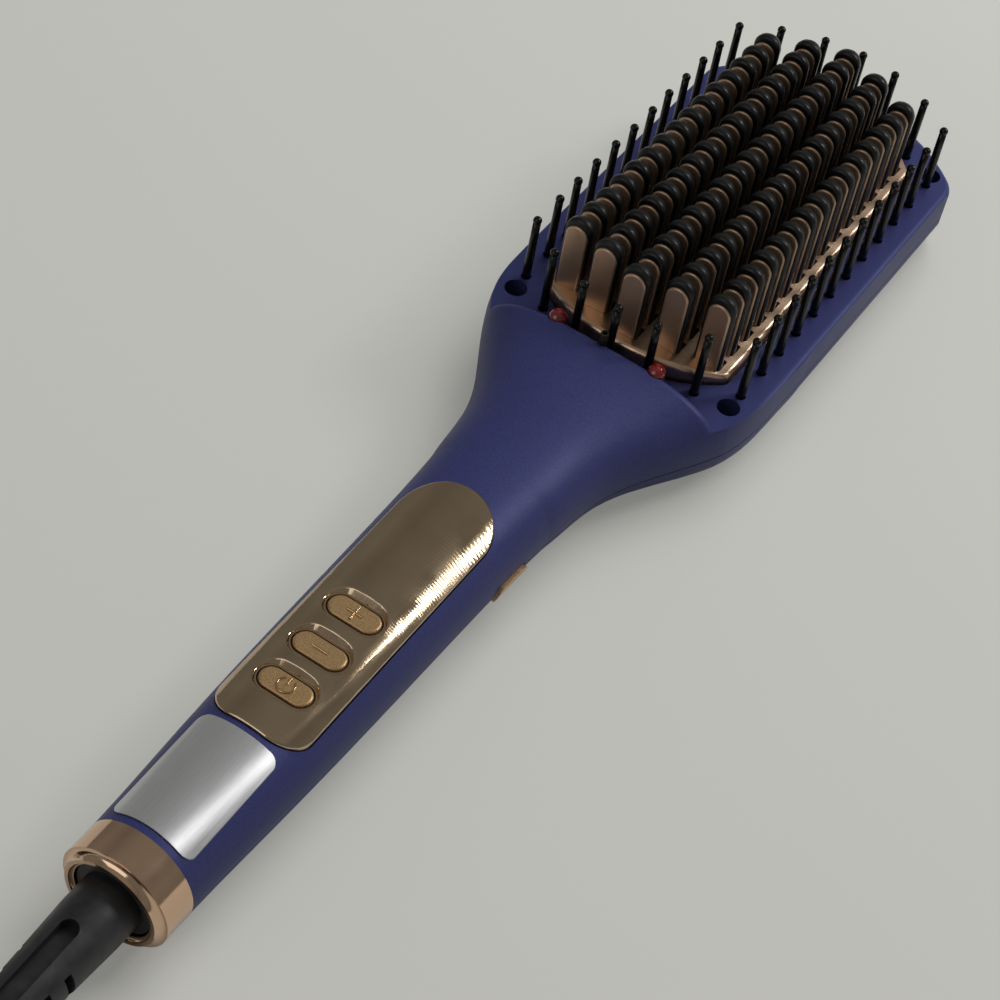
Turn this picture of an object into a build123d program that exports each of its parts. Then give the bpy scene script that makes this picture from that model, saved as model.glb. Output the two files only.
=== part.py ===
"""Electric hair straightening brush: heated comb head, lofted two-part body, push buttons, swivel cord.

Millimetres, +Z up. The brush lies on its back: X is across the head, +Y runs from the cord to the tip.
The origin is under the middle of the brush, cord left out, on the surface that it lies on.
"""

import os
from math import atan2, copysign, cos, pi, radians, sin, sqrt, tan

from build123d import *

os.makedirs("parts", exist_ok=True)

# ---------------------------------------------------------------- driving sizes
# A "place" is a distance along the brush from the centre of the bristle field,
# plus towards the tip of the head and minus towards the cord.
HEAD_TIP = 61.5
COLLAR_FRONT = -208.3
COLLAR_TAIL = -217.0
BOOT_END = -263.0
FIELD_Y = -(HEAD_TIP + BOOT_END) / 2

HEAD_HALF = 32.5
HANDLE_HALF = 13.5
TAIL_RADIUS = 11.5
HANDLE_AXIS_Z = 12.0
HANDLE_RISE = 11.3
HANDLE_DROP = 11.5
CREST_RISE = 14.0
HEAD_DROP = 13.0
WALL = 2.0
RIM_Z = 18.0
PARTING_Z = 10.0
SEAM_WIDTH = 0.24
SEAM_DEPTH = 0.3

RIDGE_PLACE = -57.0
RIDGE_RADIUS = 211.0
RIDGE_ROUND = 1.5
RIM_ROUND = 1.5
TIP_END_RADIUS = 44.0
TIP_CORNER_RADIUS = 8.0
TIP_UNDER_RADIUS = 11.5
TIP_MARGIN = 0.2
HEAD_CUT_START = -50.0
CREST_REACH = 4.0
SECTION_POINTS = 24

PLATE_HALF = 22.8
PLATE_END = 52.0
PLATE_END_RADIUS = 32.0
PLATE_CORNER = 2.5
PLATE_PROUD = 4.8
PLATE_CROWN_RADIUS = 90.0
PLATE_EDGE_ROUND = 1.2
PLATE_GAP = 0.5

COLUMN_COUNTS = (15, 16, 17, 16, 15)
COLUMN_PITCH = 8.73
TOOTH_PITCH = 5.8
FIN_WIDTH = 5.3
FIN_THICKNESS = 1.4
FIN_HEIGHT = 16.9
FIN_FRONT = -3.07
FIN_BEVEL = 0.3
TOOTH_WIDTH = 6.3
TOOTH_THICKNESS = 3.0
TOOTH_OVER = 2.2
TOOTH_ROUND = 1.3
SLOT_FIT = 0.05
BLADE_FOOT = 0.5

PIN_COLUMN_X = 27.0
PIN_PITCH = 7.72
PINS_PER_SIDE = 12
PIN_END_SHIFT = 1.18
PIN_ARC_PLACES = ((0.0, 54.72), (9.05, 53.39), (18.85, 49.44))
PIN_HEIGHT = 17.2
PIN_BASE_RADIUS = 1.0
PIN_NECK_RADIUS = 0.78
PIN_BALL_RADIUS = 1.0
PIN_HOLE_GAP = 0.15
FRAME_END = 56.0
FRAME_END_RADIUS = 39.4
FRAME_HALF = 29.6
FRAME_CORNER = 4.0

LENS_X = 12.15
LENS_PLACE = -56.1
LENS_RADIUS = 2.0
LENS_TOP_Z = 26.6
LENS_GAP = 0.15
LENS_FLAT = 0.05
LENS_FLANGE_RADIUS = 2.8
LENS_BOARD_THICKNESS = 1.0
LENS_BOARD_DROP = 1.5
LENS_BOARD_LENGTH = 7.0
LENS_BOARD_POST_X = 6.1
LENS_BOARD_POST_PLACE = -59.0
LENS_BOARD_POST_RADIUS = 1.0
NOZZLE_X = -0.5
NOZZLE_PLACE = -57.2
NOZZLE_RADIUS = 0.9
NOZZLE_BORE = 0.5
NOZZLE_TOP_Z = 28.7

HEAD_SCREW_PLACES = ((26.65, -48.2), (-26.65, -48.2), (26.2, 47.4), (-26.2, 47.4))
HANDLE_SCREW_PLACES = (-92.0, -186.0)
HEAD_SCREW_END_Z = 3.6
HANDLE_SCREW_SEAT_Z = 4.5
HANDLE_SCREW_END_Z = 16.0
SCREW_RADIUS = 1.25
SCREW_HEAD_RADIUS = 2.3
SCREW_HEAD_HEIGHT = 1.4
SCREW_SLOT_LENGTH = 2.8
SCREW_SLOT_WIDTH = 0.6
SCREW_SLOT_DEPTH = 0.6
SCREW_FIT = 0.05
SCREW_HOLE_GAP = 0.15
SCREW_TIP_GAP = 0.5
RECESS_RADIUS = 2.5
RECESS_DEPTH = 6.5
BOSS_WALL = 0.8

PANEL_TAIL = -179.0
PANEL_FRONT = -106.5
PANEL_WIDTH = 20.5
PANEL_TAIL_CORNER = 6.5
PANEL_SEAT_Z = 18.4
PANEL_GAP = 0.12
PANEL_PROUD = 0.6
PANEL_EDGE_ROUND = 0.5

BUTTON_PLACES = {"plus_button": -145.7, "minus_button": -156.7, "power_button": -167.2}
BUTTON_LENGTH = 11.5
BUTTON_WIDTH = 5.2
BUTTON_GAP = 0.3
BUTTON_TOP_Z = 22.9
BUTTON_TRAVEL = 0.6
BUTTON_FLANGE = 0.6
BUTTON_FLANGE_THICKNESS = 0.8
BUTTON_FLANGE_GAP = 0.2
SWITCH_SLACK = 0.05
BUTTON_STEM_RADIUS = 1.5
BUTTON_ROUND = 0.6
DISH_MARGIN = 1.2
DISH_DEPTH = 1.0
DISH_SLOPE = 35.0
DISH_EDGE_ROUND = 0.4
SYMBOL_HEIGHT = 0.2
SYMBOL_LINE = 0.45
SYMBOL_REACH = 1.75
MOVING_GAP = 0.3
RUNNING_GAP = 0.3
INSIDE_GAP = 0.3

SIDE_BUTTON_PLACE = -110.25
SIDE_BUTTON_Z = 8.75
SIDE_BUTTON_LENGTH = 9.5
SIDE_BUTTON_HEIGHT = 5.2
SIDE_BUTTON_CORNER = 1.6
SIDE_BUTTON_PROUD = 0.7
SIDE_BUTTON_TRAVEL = 0.8
SIDE_BUTTON_INSIDE = 8.6
SIDE_STEM_RADIUS = 1.25
SIDE_STEM_END_X = 7.75
SIDE_PLUNGER = 0.5
SWITCH_BOARD_Z = 5.5
SWITCH_BOARD_OVERLAP = 4.0

LABEL_TAIL = -206.6
LABEL_FRONT = -180.4
LABEL_WIDTH = 17.2
LABEL_CORNER = 2.0
LABEL_THICKNESS = 0.25

PCB_TAIL = -178.0
PCB_FRONT = -116.2
PCB_WIDTH = 18.0
PCB_BOTTOM_Z = 10.4
PCB_THICKNESS = 1.6
SWITCH_SIZE = 6.0
SWITCH_HEIGHT = 3.5
PLUNGER_RADIUS = 1.75
PLUNGER_HEIGHT = 0.7
DISPLAY_PLACE = -128.5
DISPLAY_WIDTH = 12.0
DISPLAY_LENGTH = 23.0
DISPLAY_TOP_Z = 20.8
BOARD_RIB_PLACES = (-175.0, -136.0)
BOARD_RIB_WIDTH = 16.0
RIB_THICKNESS = 1.6
CAPACITOR_X = -4.0
CAPACITOR_PLACE = -147.0
CAPACITOR_RADIUS = 3.5
CAPACITOR_LENGTH = 14.0
CAP_FUSE_X = 4.5
CAP_FUSE_PLACE = -158.0
CAP_FUSE_RADIUS = 2.5
CAP_FUSE_LENGTH = 15.0
TRIAC_PLACE = -125.0
TRIAC_WIDTH = 10.0
TRIAC_LENGTH = 8.0
TRIAC_HEIGHT = 4.0

SPREADER_GROW = 1.2
SPREADER_THICKNESS = 1.5
HEATER_THICKNESS = 1.4
HEATER_WIDTH = 12.0
HEATER_LENGTH = 84.0
HEATER_X = 9.0
MICA_THICKNESS = 0.5
CLAMP_THICKNESS = 1.2
CLAMP_WIDTH = 44.0
CLAMP_LENGTH = 80.0
CLAMP_SCREW_SPOTS = ((19.0, 34.0), (-19.0, 34.0), (19.0, -34.0), (-19.0, -34.0))
MICA_WINDOW_WIDTH = 4.0
MICA_WINDOW_LENGTH = 10.0
THERMISTOR_RADIUS = 0.9
THERMISTOR_LENGTH = 6.0
FUSE_PLACE = -24.0
FUSE_RADIUS = 1.5
FUSE_LENGTH = 9.0

SPIGOT_RADIUS = 10.2
SPIGOT_START = -203.0
SPIGOT_END = -212.7
BUSH_RADIUS = 7.3
BUSH_TUBE_RADIUS = 5.4
BUSH_INNER_END = -194.0
FLANGE_RADIUS = 9.9
RING_RADIUS = 6.2
RING_WIDTH = 2.4
COLLAR_MOUTH = 8.4
COLLAR_MOUTH_ROUND = 0.7
COLLAR_ROUND = 1.6
COLLAR_LIP = -214.35
CONTACT_SPOTS = ((-8.1, -200.5), (8.1, -196.5))
CONTACT_THICKNESS = 3.0
CONTACT_SIZE = 2.0

BOOT_RADIUS = 6.3
BOOT_START = -215.8
BOOT_TIP_RADIUS = 4.5
BOOT_TAPER_START = -222.0
BOOT_CORE_RADIUS = 3.3
BOOT_SLOT_START = -226.0
BOOT_SLOT_END = -252.0
BOOT_SLOT_WIDTH = 3.8
BOOT_SLOT_FLOOR = 3.6
BOOT_NOTCH_START = -233.0
BOOT_NOTCH_PITCH = 5.2
BOOT_NOTCH_WIDTH = 1.7
BOOT_NOTCHES = 4
BOOT_NOTCH_REACH = 3.2
BOOT_BORE_DEPTH = 8.0
BARB_RADIUS = 4.5
BARB_END = -205.0

TANK_TAIL = -15.0
TANK_FRONT = 44.0
TANK_HALF = 20.0
TANK_HEIGHT = 6.4
TANK_WALL = 0.8
TANK_CORNER = 4.0
FILLER_Z = 5.6
SPOUT_RADIUS = 3.2
SPOUT_SETBACK = 4.0
SPOUT_HOLE_START = 48.0
PLUG_SHANK_RADIUS = 2.2
PLUG_FIT = 0.05
PLUG_DEPTH = 6.0
VAPORISER_PLACE = -57.5
VAPORISER_WIDTH = 14.0
VAPORISER_LENGTH = 8.0
VAPORISER_Z = 7.5
PUMP_RADIUS = 4.5
PUMP_X = -4.0
PUMP_Z = 7.0
PUMP_TAIL = -84.0
PUMP_FRONT = -68.0
HOSE_RADIUS = 1.5
HOSE_BEND = 12.0
HOSE_UPPER_Z = 9.4
HOSE_LOWER_Z = 4.8
HOSE_ROUTE = (
    (-10.0, TANK_TAIL, HOSE_LOWER_Z),
    (-10.0, -32.0, HOSE_LOWER_Z),
    (PUMP_X, -50.0, HOSE_LOWER_Z),
    (PUMP_X, PUMP_FRONT, HOSE_LOWER_Z),
)
LEAD_RADIUS = 0.6
LEAD_BEND = 2.5
LEAD_ROUTES = (
    ((9.0, -HEATER_LENGTH / 2, 13.7), (9.0, -45.0, 13.7), (10.5, -50.0, 12.0), (17.5, -58.0, 10.0),
     (14.0, -72.0, 9.5), (6.5, -91.0, 10.6), (0.5, -104.0, 11.2), (0.5, PCB_FRONT, 11.2)),
    ((-9.0, -HEATER_LENGTH / 2, 13.7), (-9.0, -45.0, 13.7), (-10.5, -50.0, 12.0), (-17.5, -58.0, 10.0),
     (-14.0, -72.0, 9.5), (-7.0, -91.0, 10.6), (-4.0, -104.0, 11.2), (-4.0, PCB_FRONT, 11.2)),
)

# the cord's routes are in the brush's own frame
CORD_RADIUS = 3.0
CORD_ARC_SHARE = 0.45
CORD_LEAD = (
    (0.0, -156.0, 12.0), (0.0, -173.0, 12.0), (7.0, -189.5, 8.0), (19.0, -204.0, 4.4), (27.0, -218.0, 3.05),
    (28.0, -234.0, 3.0),
)
CORD_TAIL = (
    (-63.0, -234.0, 9.0), (-61.5, -218.0, 9.0), (-56.8, -203.0, 8.6), (-52.8, -188.0, 7.2),
    (-52.5, -173.0, 6.85),
)
COIL_CENTRE = (-17.5, -234.0)
COIL_OUTER = 45.5
COIL_INNER = 24.5
COIL_LAYERS = 2
COIL_ROUND = 2.8
PLUG_ENTRY = (-52.5, -173.0)
PLUG_RELIEF_LENGTH = 12.0
PLUG_RELIEF_WALL = 1.2
PLUG_LENGTH = 34.0
PLUG_WIDTH = 26.0
PLUG_THICKNESS = 13.7
PLUG_NECK = 5.5
PLUG_SHOULDER = 14.0
PLUG_CORNER = 3.0
PLUG_ROUND = 2.5
PLUG_PIN_RADIUS = 2.0
PLUG_PIN_LENGTH = 19.0
PLUG_PIN_SPACING = 18.6
PLUG_PIN_ROUND = 1.2


# ---------------------------------------------------------------- planes and shared shapes
def level(height):
    """A horizontal plane at a height, its origin over the centre of the bristle field."""
    return Plane(origin=(0, FIELD_Y, height))


def across(place, height=0.0):
    """An upright plane across the brush at a place: local x is X, local y is up, out is to the tail."""
    return Plane(origin=(0, FIELD_Y + place, height), x_dir=(1, 0, 0), z_dir=(0, -1, 0))


def along(x=0.0, height=0.0):
    """An upright plane along the brush: local x is the place, local y is up, out is +X."""
    return Plane(origin=(x, FIELD_Y, height), x_dir=(0, 1, 0), z_dir=(1, 0, 0))


HANDLE_AXIS = Axis((0, FIELD_Y, HANDLE_AXIS_Z), (0, 1, 0))


def blend(first, second, share):
    return first + share * (second - first)


def taper(share):
    """Half width between the tail and the widest part of the handle."""
    return blend(TAIL_RADIUS, HANDLE_HALF, share)


def flare(share):
    """Half width between the handle and the head."""
    return blend(HANDLE_HALF, HEAD_HALF, share)


def lift(share):
    """Height over the axis, between the handle and the crest before the bristles."""
    return blend(HANDLE_RISE, CREST_RISE, share)


def sink(share):
    """Depth under the axis, between the handle and the head."""
    return blend(HANDLE_DROP, HEAD_DROP, share)


# place, half width, rise, drop, power of the upper curve, power of the lower curve
STATIONS = (
    (COLLAR_FRONT, TAIL_RADIUS, TAIL_RADIUS, TAIL_RADIUS, 2.0, 2.0),
    (-190.0, taper(0.30), lift(0.0), sink(0.0), 2.15, 2.05),
    (-165.0, taper(0.72), lift(0.0), sink(0.0), 2.3, 2.1),
    (-140.0, taper(0.96), lift(0.0), sink(0.0), 2.3, 2.1),
    (-115.0, flare(0.02), lift(0.02), sink(0.0), 2.3, 2.1),
    (-98.0, flare(0.06), lift(0.08), sink(0.0), 2.3, 2.15),
    (-86.0, flare(0.135), lift(0.25), sink(0.05), 2.25, 2.2),
    (-77.0, flare(0.255), lift(0.5), sink(0.2), 2.2, 2.3),
    (-69.0, flare(0.45), lift(0.75), sink(0.45), 2.2, 2.5),
    (-61.0, flare(0.68), lift(0.95), sink(0.7), 2.4, 2.8),
    (-53.5, flare(0.87), lift(1.0), sink(0.9), 3.2, 3.1),
    (-46.0, flare(0.962), lift(1.0), sink(1.0), 4.0, 3.4),
    (-38.0, flare(0.99), lift(1.0), sink(1.0), 4.4, 3.5),
    (-30.0, flare(1.0), lift(1.0), sink(1.0), 4.6, 3.5),
    (-22.0, flare(1.0), lift(1.0), sink(1.0), 4.6, 3.5),
)
# first and last station of each smooth stretch, and the stations where it is cut to meet the next
STRETCHES = ((0, 6, None, 5), (4, 11, 5, 10), (8, 14, 10, None))
BEYOND = 8.0


def section_points(inset, half_width, rise, drop, top_power, bottom_power):
    """Points of one rounded cross-section, taken in by an inset."""
    points = []
    for step in range(SECTION_POINTS):
        turn = 2 * pi * step / SECTION_POINTS
        power, height = (top_power, rise) if sin(turn) >= 0 else (bottom_power, drop)
        side_share = copysign(abs(cos(turn)) ** (2 / power), cos(turn))
        up_share = copysign(abs(sin(turn)) ** (2 / power), sin(turn))
        points.append(Vector((half_width - inset) * side_share, (height - inset) * up_share))
    return points


def stretch_form(inset, first, last, start_cut, end_cut):
    """One smooth stretch of the body through a few stations."""
    knots = [step / SECTION_POINTS for step in range(SECTION_POINTS + 1)]
    with BuildPart() as stretch:
        for place, *shape in STATIONS[first : last + 1]:
            with BuildSketch(across(place, HANDLE_AXIS_Z)):
                with BuildLine():
                    add(Edge.make_spline(section_points(inset, *shape), periodic=True, parameters=knots))
                make_face()
        loft()
        if start_cut is not None:
            split(bisect_by=across(STATIONS[start_cut][0]), keep=Keep.BOTTOM)
        if end_cut is not None:
            split(bisect_by=across(STATIONS[end_cut][0]), keep=Keep.TOP)
        else:
            end_face = stretch.faces().sort_by(Axis.Y)[-1]
            extrude(end_face, amount=HEAD_TIP + BEYOND - STATIONS[last][0])
    return stretch.part


def tip_outline(inset):
    """Plan of the head's tip: a broad end arc and two corner arcs, with straight sides."""
    side = HEAD_HALF + TIP_MARGIN - inset
    corner = TIP_CORNER_RADIUS - inset
    end = TIP_END_RADIUS - inset
    end_y = HEAD_TIP - TIP_END_RADIUS
    corner_x = side - corner
    corner_y = end_y + sqrt((end - corner) ** 2 - corner_x**2)
    bearing = atan2(corner_y - end_y, corner_x)
    arcs = []
    with BuildSketch() as outline:
        with BuildLine():
            for hand in (1, -1):
                middle = (hand * (corner_x + corner * cos(bearing / 2)), corner_y + corner * sin(bearing / 2))
                finish = (hand * (corner_x + corner * cos(bearing)), corner_y + corner * sin(bearing))
                arcs.append(ThreePointArc((hand * side, corner_y), middle, finish))
            ThreePointArc(arcs[0] @ 1, (0, HEAD_TIP - inset), arcs[1] @ 1)
            Polyline(arcs[1] @ 0, (-side, -HEAD_TIP), (side, -HEAD_TIP), arcs[0] @ 0)
        make_face()
    return outline.sketch


def head_cutter(inset, rim_round):
    """Everything round the head and over its rim, so that the head keeps its plan and a rounded rim."""
    floor_z = -TIP_UNDER_RADIUS
    with BuildPart() as keep:
        with BuildSketch(level(floor_z)):
            add(tip_outline(inset))
        extrude(amount=RIM_Z - inset - floor_z)
        if rim_round:
            rim_edges = keep.faces().sort_by(Axis.Z)[-1].edges().sort_by(Axis.Y)[1:]
            fillet(rim_edges, radius=rim_round)
    far_end = HEAD_TIP + 2 * BEYOND
    with BuildPart() as cutter:
        with BuildSketch(level(floor_z - 1)):
            with Locations((0, (HEAD_CUT_START + far_end) / 2)):
                Rectangle(3 * HEAD_HALF, far_end - HEAD_CUT_START)
        extrude(amount=4 * RIM_Z)
        add(keep.part, mode=Mode.SUBTRACT)
    return cutter.part


def body_form(inset, rim_round=0.0, crest_round=0.0):
    """The whole outside of handle, neck and head as a solid, taken in by an inset."""
    with BuildPart() as form:
        for stretch in STRETCHES:
            add(stretch_form(inset, *stretch))
        # the tip's end wall turns under into the flat back
        end = HEAD_TIP + TIP_MARGIN
        under = TIP_UNDER_RADIUS - inset
        centre = (end - TIP_UNDER_RADIUS, HANDLE_AXIS_Z - HEAD_DROP + TIP_UNDER_RADIUS)
        with BuildSketch(along()):
            with BuildLine():
                turn_under = CenterArc(centre, under, -90, 90)
                Polyline(
                    turn_under @ 1,
                    (end - inset, 3 * RIM_Z),
                    (2 * BOOT_END, 3 * RIM_Z),
                    (2 * BOOT_END, centre[1] - under),
                    turn_under @ 0,
                )
            make_face()
        extrude(amount=1.5 * HEAD_HALF, both=True, mode=Mode.INTERSECT)
        split(bisect_by=Plane.XY.offset(inset), keep=Keep.TOP)
        # the sunk field behind the ridge
        reach = 1.4 * HEAD_HALF
        sag = reach**2 / (2 * RIDGE_RADIUS)
        with BuildSketch(level(RIM_Z - inset)):
            with BuildLine():
                foot = RIDGE_PLACE - inset
                arc = ThreePointArc((-reach, foot + sag), (0, foot), (reach, foot + sag))
                Polyline(arc @ 1, (reach, HEAD_TIP + 2 * BEYOND), (-reach, HEAD_TIP + 2 * BEYOND), arc @ 0)
            make_face()
        extrude(amount=2 * RIM_Z, mode=Mode.SUBTRACT)
        if crest_round:
            crest = form.edges().filter_by(
                lambda edge: edge.center().Z > RIM_Z + RIM_ROUND
                and abs(edge.center().Y - FIELD_Y - RIDGE_PLACE) < CREST_REACH
            )
            fillet(crest, radius=crest_round)
        add(head_cutter(inset, rim_round), mode=Mode.SUBTRACT)
    return form.part


def turned(outline):
    """A solid turned about the handle's axis from (place, radius) points."""
    with BuildPart() as piece:
        with BuildSketch(along(0, HANDLE_AXIS_Z)):
            with BuildLine():
                Polyline(*outline, close=True)
            make_face()
        revolve(axis=HANDLE_AXIS)
    return piece.part


def post(x, place, radius, low, high):
    """An upright cylinder at a spot on the brush."""
    with BuildPart() as cylinder:
        with BuildSketch(level(low)):
            with Locations((x, place)):
                Circle(radius)
        extrude(amount=high - low)
    return cylinder.part


def block(x, place, width, length, low, high):
    """An upright box, centred on a spot on the brush."""
    with BuildPart() as box:
        with BuildSketch(level(low)):
            with Locations((x, place)):
                Rectangle(width, length)
        extrude(amount=high - low)
    return box.part


def tube_along(points, radius, bend):
    """A round lead or hose through (x, place, z) points with arcs of one bend radius."""
    route = [(x, FIELD_Y + place, z) for x, place, z in points]
    with BuildPart() as tube:
        with BuildLine() as path:
            FilletPolyline(*route, radius=bend)
        with BuildSketch(Plane(origin=path.line @ 0, z_dir=path.line % 0)):
            Circle(radius)
        sweep(path=path.line)
    return tube.part


def finish(piece, name):
    piece.label = name
    export_step(piece, f"parts/{name}.step")


outer = body_form(0.0, RIM_ROUND, RIDGE_ROUND)
inner = body_form(WALL)
label_form = body_form(-LABEL_THICKNESS)
panel_form = body_form(-PANEL_PROUD)
core = body_form(WALL / 2)

# ---------------------------------------------------------------- sizes that follow
SCREW_BOSS_RADIUS = RECESS_RADIUS + BOSS_WALL
SCREW_SEAT_Z = RIM_Z - RECESS_DEPTH
PLATE_BASE_Z = RIM_Z - WALL
PIN_ROOT_Z = RIM_Z - WALL
SPREADER_Z = PLATE_BASE_Z - SPREADER_THICKNESS
HEATER_Z = SPREADER_Z - HEATER_THICKNESS
MICA_Z = HEATER_Z - MICA_THICKNESS
CLAMP_Z = MICA_Z - CLAMP_THICKNESS
PCB_TOP_Z = PCB_BOTTOM_Z + PCB_THICKNESS
LENS_BOARD_TOP_Z = SPREADER_Z - LENS_BOARD_DROP
LENS_BOARD_Z = LENS_BOARD_TOP_Z - LENS_BOARD_THICKNESS
BUTTON_FLANGE_Z = PANEL_SEAT_Z - BUTTON_FLANGE_GAP - BUTTON_FLANGE_THICKNESS
PLUNGER_TOP_Z = PCB_TOP_Z + SWITCH_HEIGHT + PLUNGER_HEIGHT
STEM_END_Z = PLUNGER_TOP_Z + BUTTON_TRAVEL + SWITCH_SLACK


def plate_top(x):
    """Height of the crowned plate at a distance from its centre line."""
    return RIM_Z + PLATE_PROUD - PLATE_CROWN_RADIUS + sqrt(PLATE_CROWN_RADIUS**2 - x**2)


def pin_places():
    """Spots of the guard pins: a column down each side, an arc across each end."""
    spots = []
    for hand in (1, -1):
        for index in range(PINS_PER_SIDE):
            place = (index - (PINS_PER_SIDE - 1) / 2) * PIN_PITCH
            if index in (0, PINS_PER_SIDE - 1):
                place += copysign(PIN_END_SHIFT, place)
            spots.append((hand * PIN_COLUMN_X, place))
    for end in (1, -1):
        for x, place in PIN_ARC_PLACES:
            spots.append((x, end * place))
            if x:
                spots.append((-x, end * place))
    return spots


def column_places(column):
    """Spots of one column's teeth."""
    count = COLUMN_COUNTS[column]
    x = (column - (len(COLUMN_COUNTS) - 1) / 2) * COLUMN_PITCH
    return [(x, (index - (count - 1) / 2) * TOOTH_PITCH) for index in range(count)]


def field_outline(half, end, end_radius, corner):
    """Plan of a piece under the bristles: straight sides and an arc across each end."""
    sag = end_radius - sqrt(end_radius**2 - half**2)
    with BuildSketch() as outline:
        with BuildLine():
            far = ThreePointArc((half, end - sag), (0, end), (-half, end - sag))
            near = ThreePointArc((-half, sag - end), (0, -end), (half, sag - end))
            Line(far @ 1, near @ 0)
            Line(near @ 1, far @ 0)
        make_face()
        fillet(outline.vertices(), corner)
    return outline.sketch


def plate_outline(grow):
    return field_outline(PLATE_HALF + grow, PLATE_END + grow, PLATE_END_RADIUS + grow, PLATE_CORNER + grow)


def panel_outline(grow):
    """Plan of the control panel: a full round at the head end, rounded corners at the tail."""
    half = PANEL_WIDTH / 2 + grow
    front = PANEL_FRONT + grow
    tail = PANEL_TAIL - grow
    corner = PANEL_TAIL_CORNER + grow
    slant = corner * (1 - sqrt(0.5))
    with BuildSketch() as outline:
        with BuildLine():
            nose = ThreePointArc((half, front - half), (0, front), (-half, front - half))
            inside = half - corner
            left = ThreePointArc((-half, tail + corner), (slant - half, tail + slant), (-inside, tail))
            right = ThreePointArc((inside, tail), (half - slant, tail + slant), (half, tail + corner))
            Line(nose @ 1, left @ 0)
            Line(left @ 1, right @ 0)
            Line(right @ 1, nose @ 0)
        make_face()
    return outline.sketch


def cross_slot():
    """The cross of a screw's head."""
    Rectangle(SCREW_SLOT_LENGTH, SCREW_SLOT_WIDTH)
    Rectangle(SCREW_SLOT_WIDTH, SCREW_SLOT_LENGTH)


def side_button_prism(grow, start, end):
    """The side button's outline, run out along +X from one distance to another."""
    length = SIDE_BUTTON_LENGTH + 2 * grow
    height = SIDE_BUTTON_HEIGHT + 2 * grow
    with BuildPart() as prism:
        with BuildSketch(along(start, SIDE_BUTTON_Z)):
            with Locations((SIDE_BUTTON_PLACE, 0)):
                RectangleRounded(length, height, SIDE_BUTTON_CORNER + grow)
        extrude(amount=end - start)
    return prism.part


# ---------------------------------------------------------------- shells
with BuildPart() as seam_ring:
    with BuildSketch(level(PARTING_Z - SEAM_WIDTH / 2)):
        with Locations((0, (HEAD_TIP + BEYOND + COLLAR_FRONT) / 2)):
            Rectangle(3 * HEAD_HALF, HEAD_TIP + BEYOND - COLLAR_FRONT)
    extrude(amount=SEAM_WIDTH)
    add(body_form(SEAM_DEPTH), mode=Mode.SUBTRACT)

spigot = turned((
    (SPIGOT_START, BUSH_RADIUS + RUNNING_GAP),
    (SPIGOT_START, SPIGOT_RADIUS),
    (SPIGOT_END, SPIGOT_RADIUS),
    (SPIGOT_END, BUSH_RADIUS + RUNNING_GAP),
))

# screw posts and ribs reach half way into the walls that they stand on
with BuildPart() as front_posts:
    for x, place in HEAD_SCREW_PLACES:
        add(post(x, place, SCREW_BOSS_RADIUS, PARTING_Z, RIM_Z))
    for place in HANDLE_SCREW_PLACES:
        add(post(0, place, SCREW_BOSS_RADIUS, PARTING_Z, 2 * RIM_Z))
    for x in (-LENS_BOARD_POST_X, LENS_BOARD_POST_X):
        add(post(x, LENS_BOARD_POST_PLACE, LENS_BOARD_POST_RADIUS, LENS_BOARD_TOP_Z, 2 * RIM_Z))
    add(core, mode=Mode.INTERSECT)

with BuildPart() as rear_posts:
    for x, place in HEAD_SCREW_PLACES:
        add(post(x, place, SCREW_BOSS_RADIUS, 0, PARTING_Z))
    for place in HANDLE_SCREW_PLACES:
        add(post(0, place, SCREW_BOSS_RADIUS, 0, PARTING_Z))
    for place in BOARD_RIB_PLACES:
        add(block(0, place, BOARD_RIB_WIDTH, RIB_THICKNESS, 0, PCB_BOTTOM_Z))
    for place in (PUMP_TAIL + 3 * RIB_THICKNESS, PUMP_FRONT - 3 * RIB_THICKNESS):
        add(block(PUMP_X, place, 2 * PUMP_RADIUS + 2 * RIB_THICKNESS, RIB_THICKNESS, 0, PUMP_Z))
    add(core, mode=Mode.INTERSECT)

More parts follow.
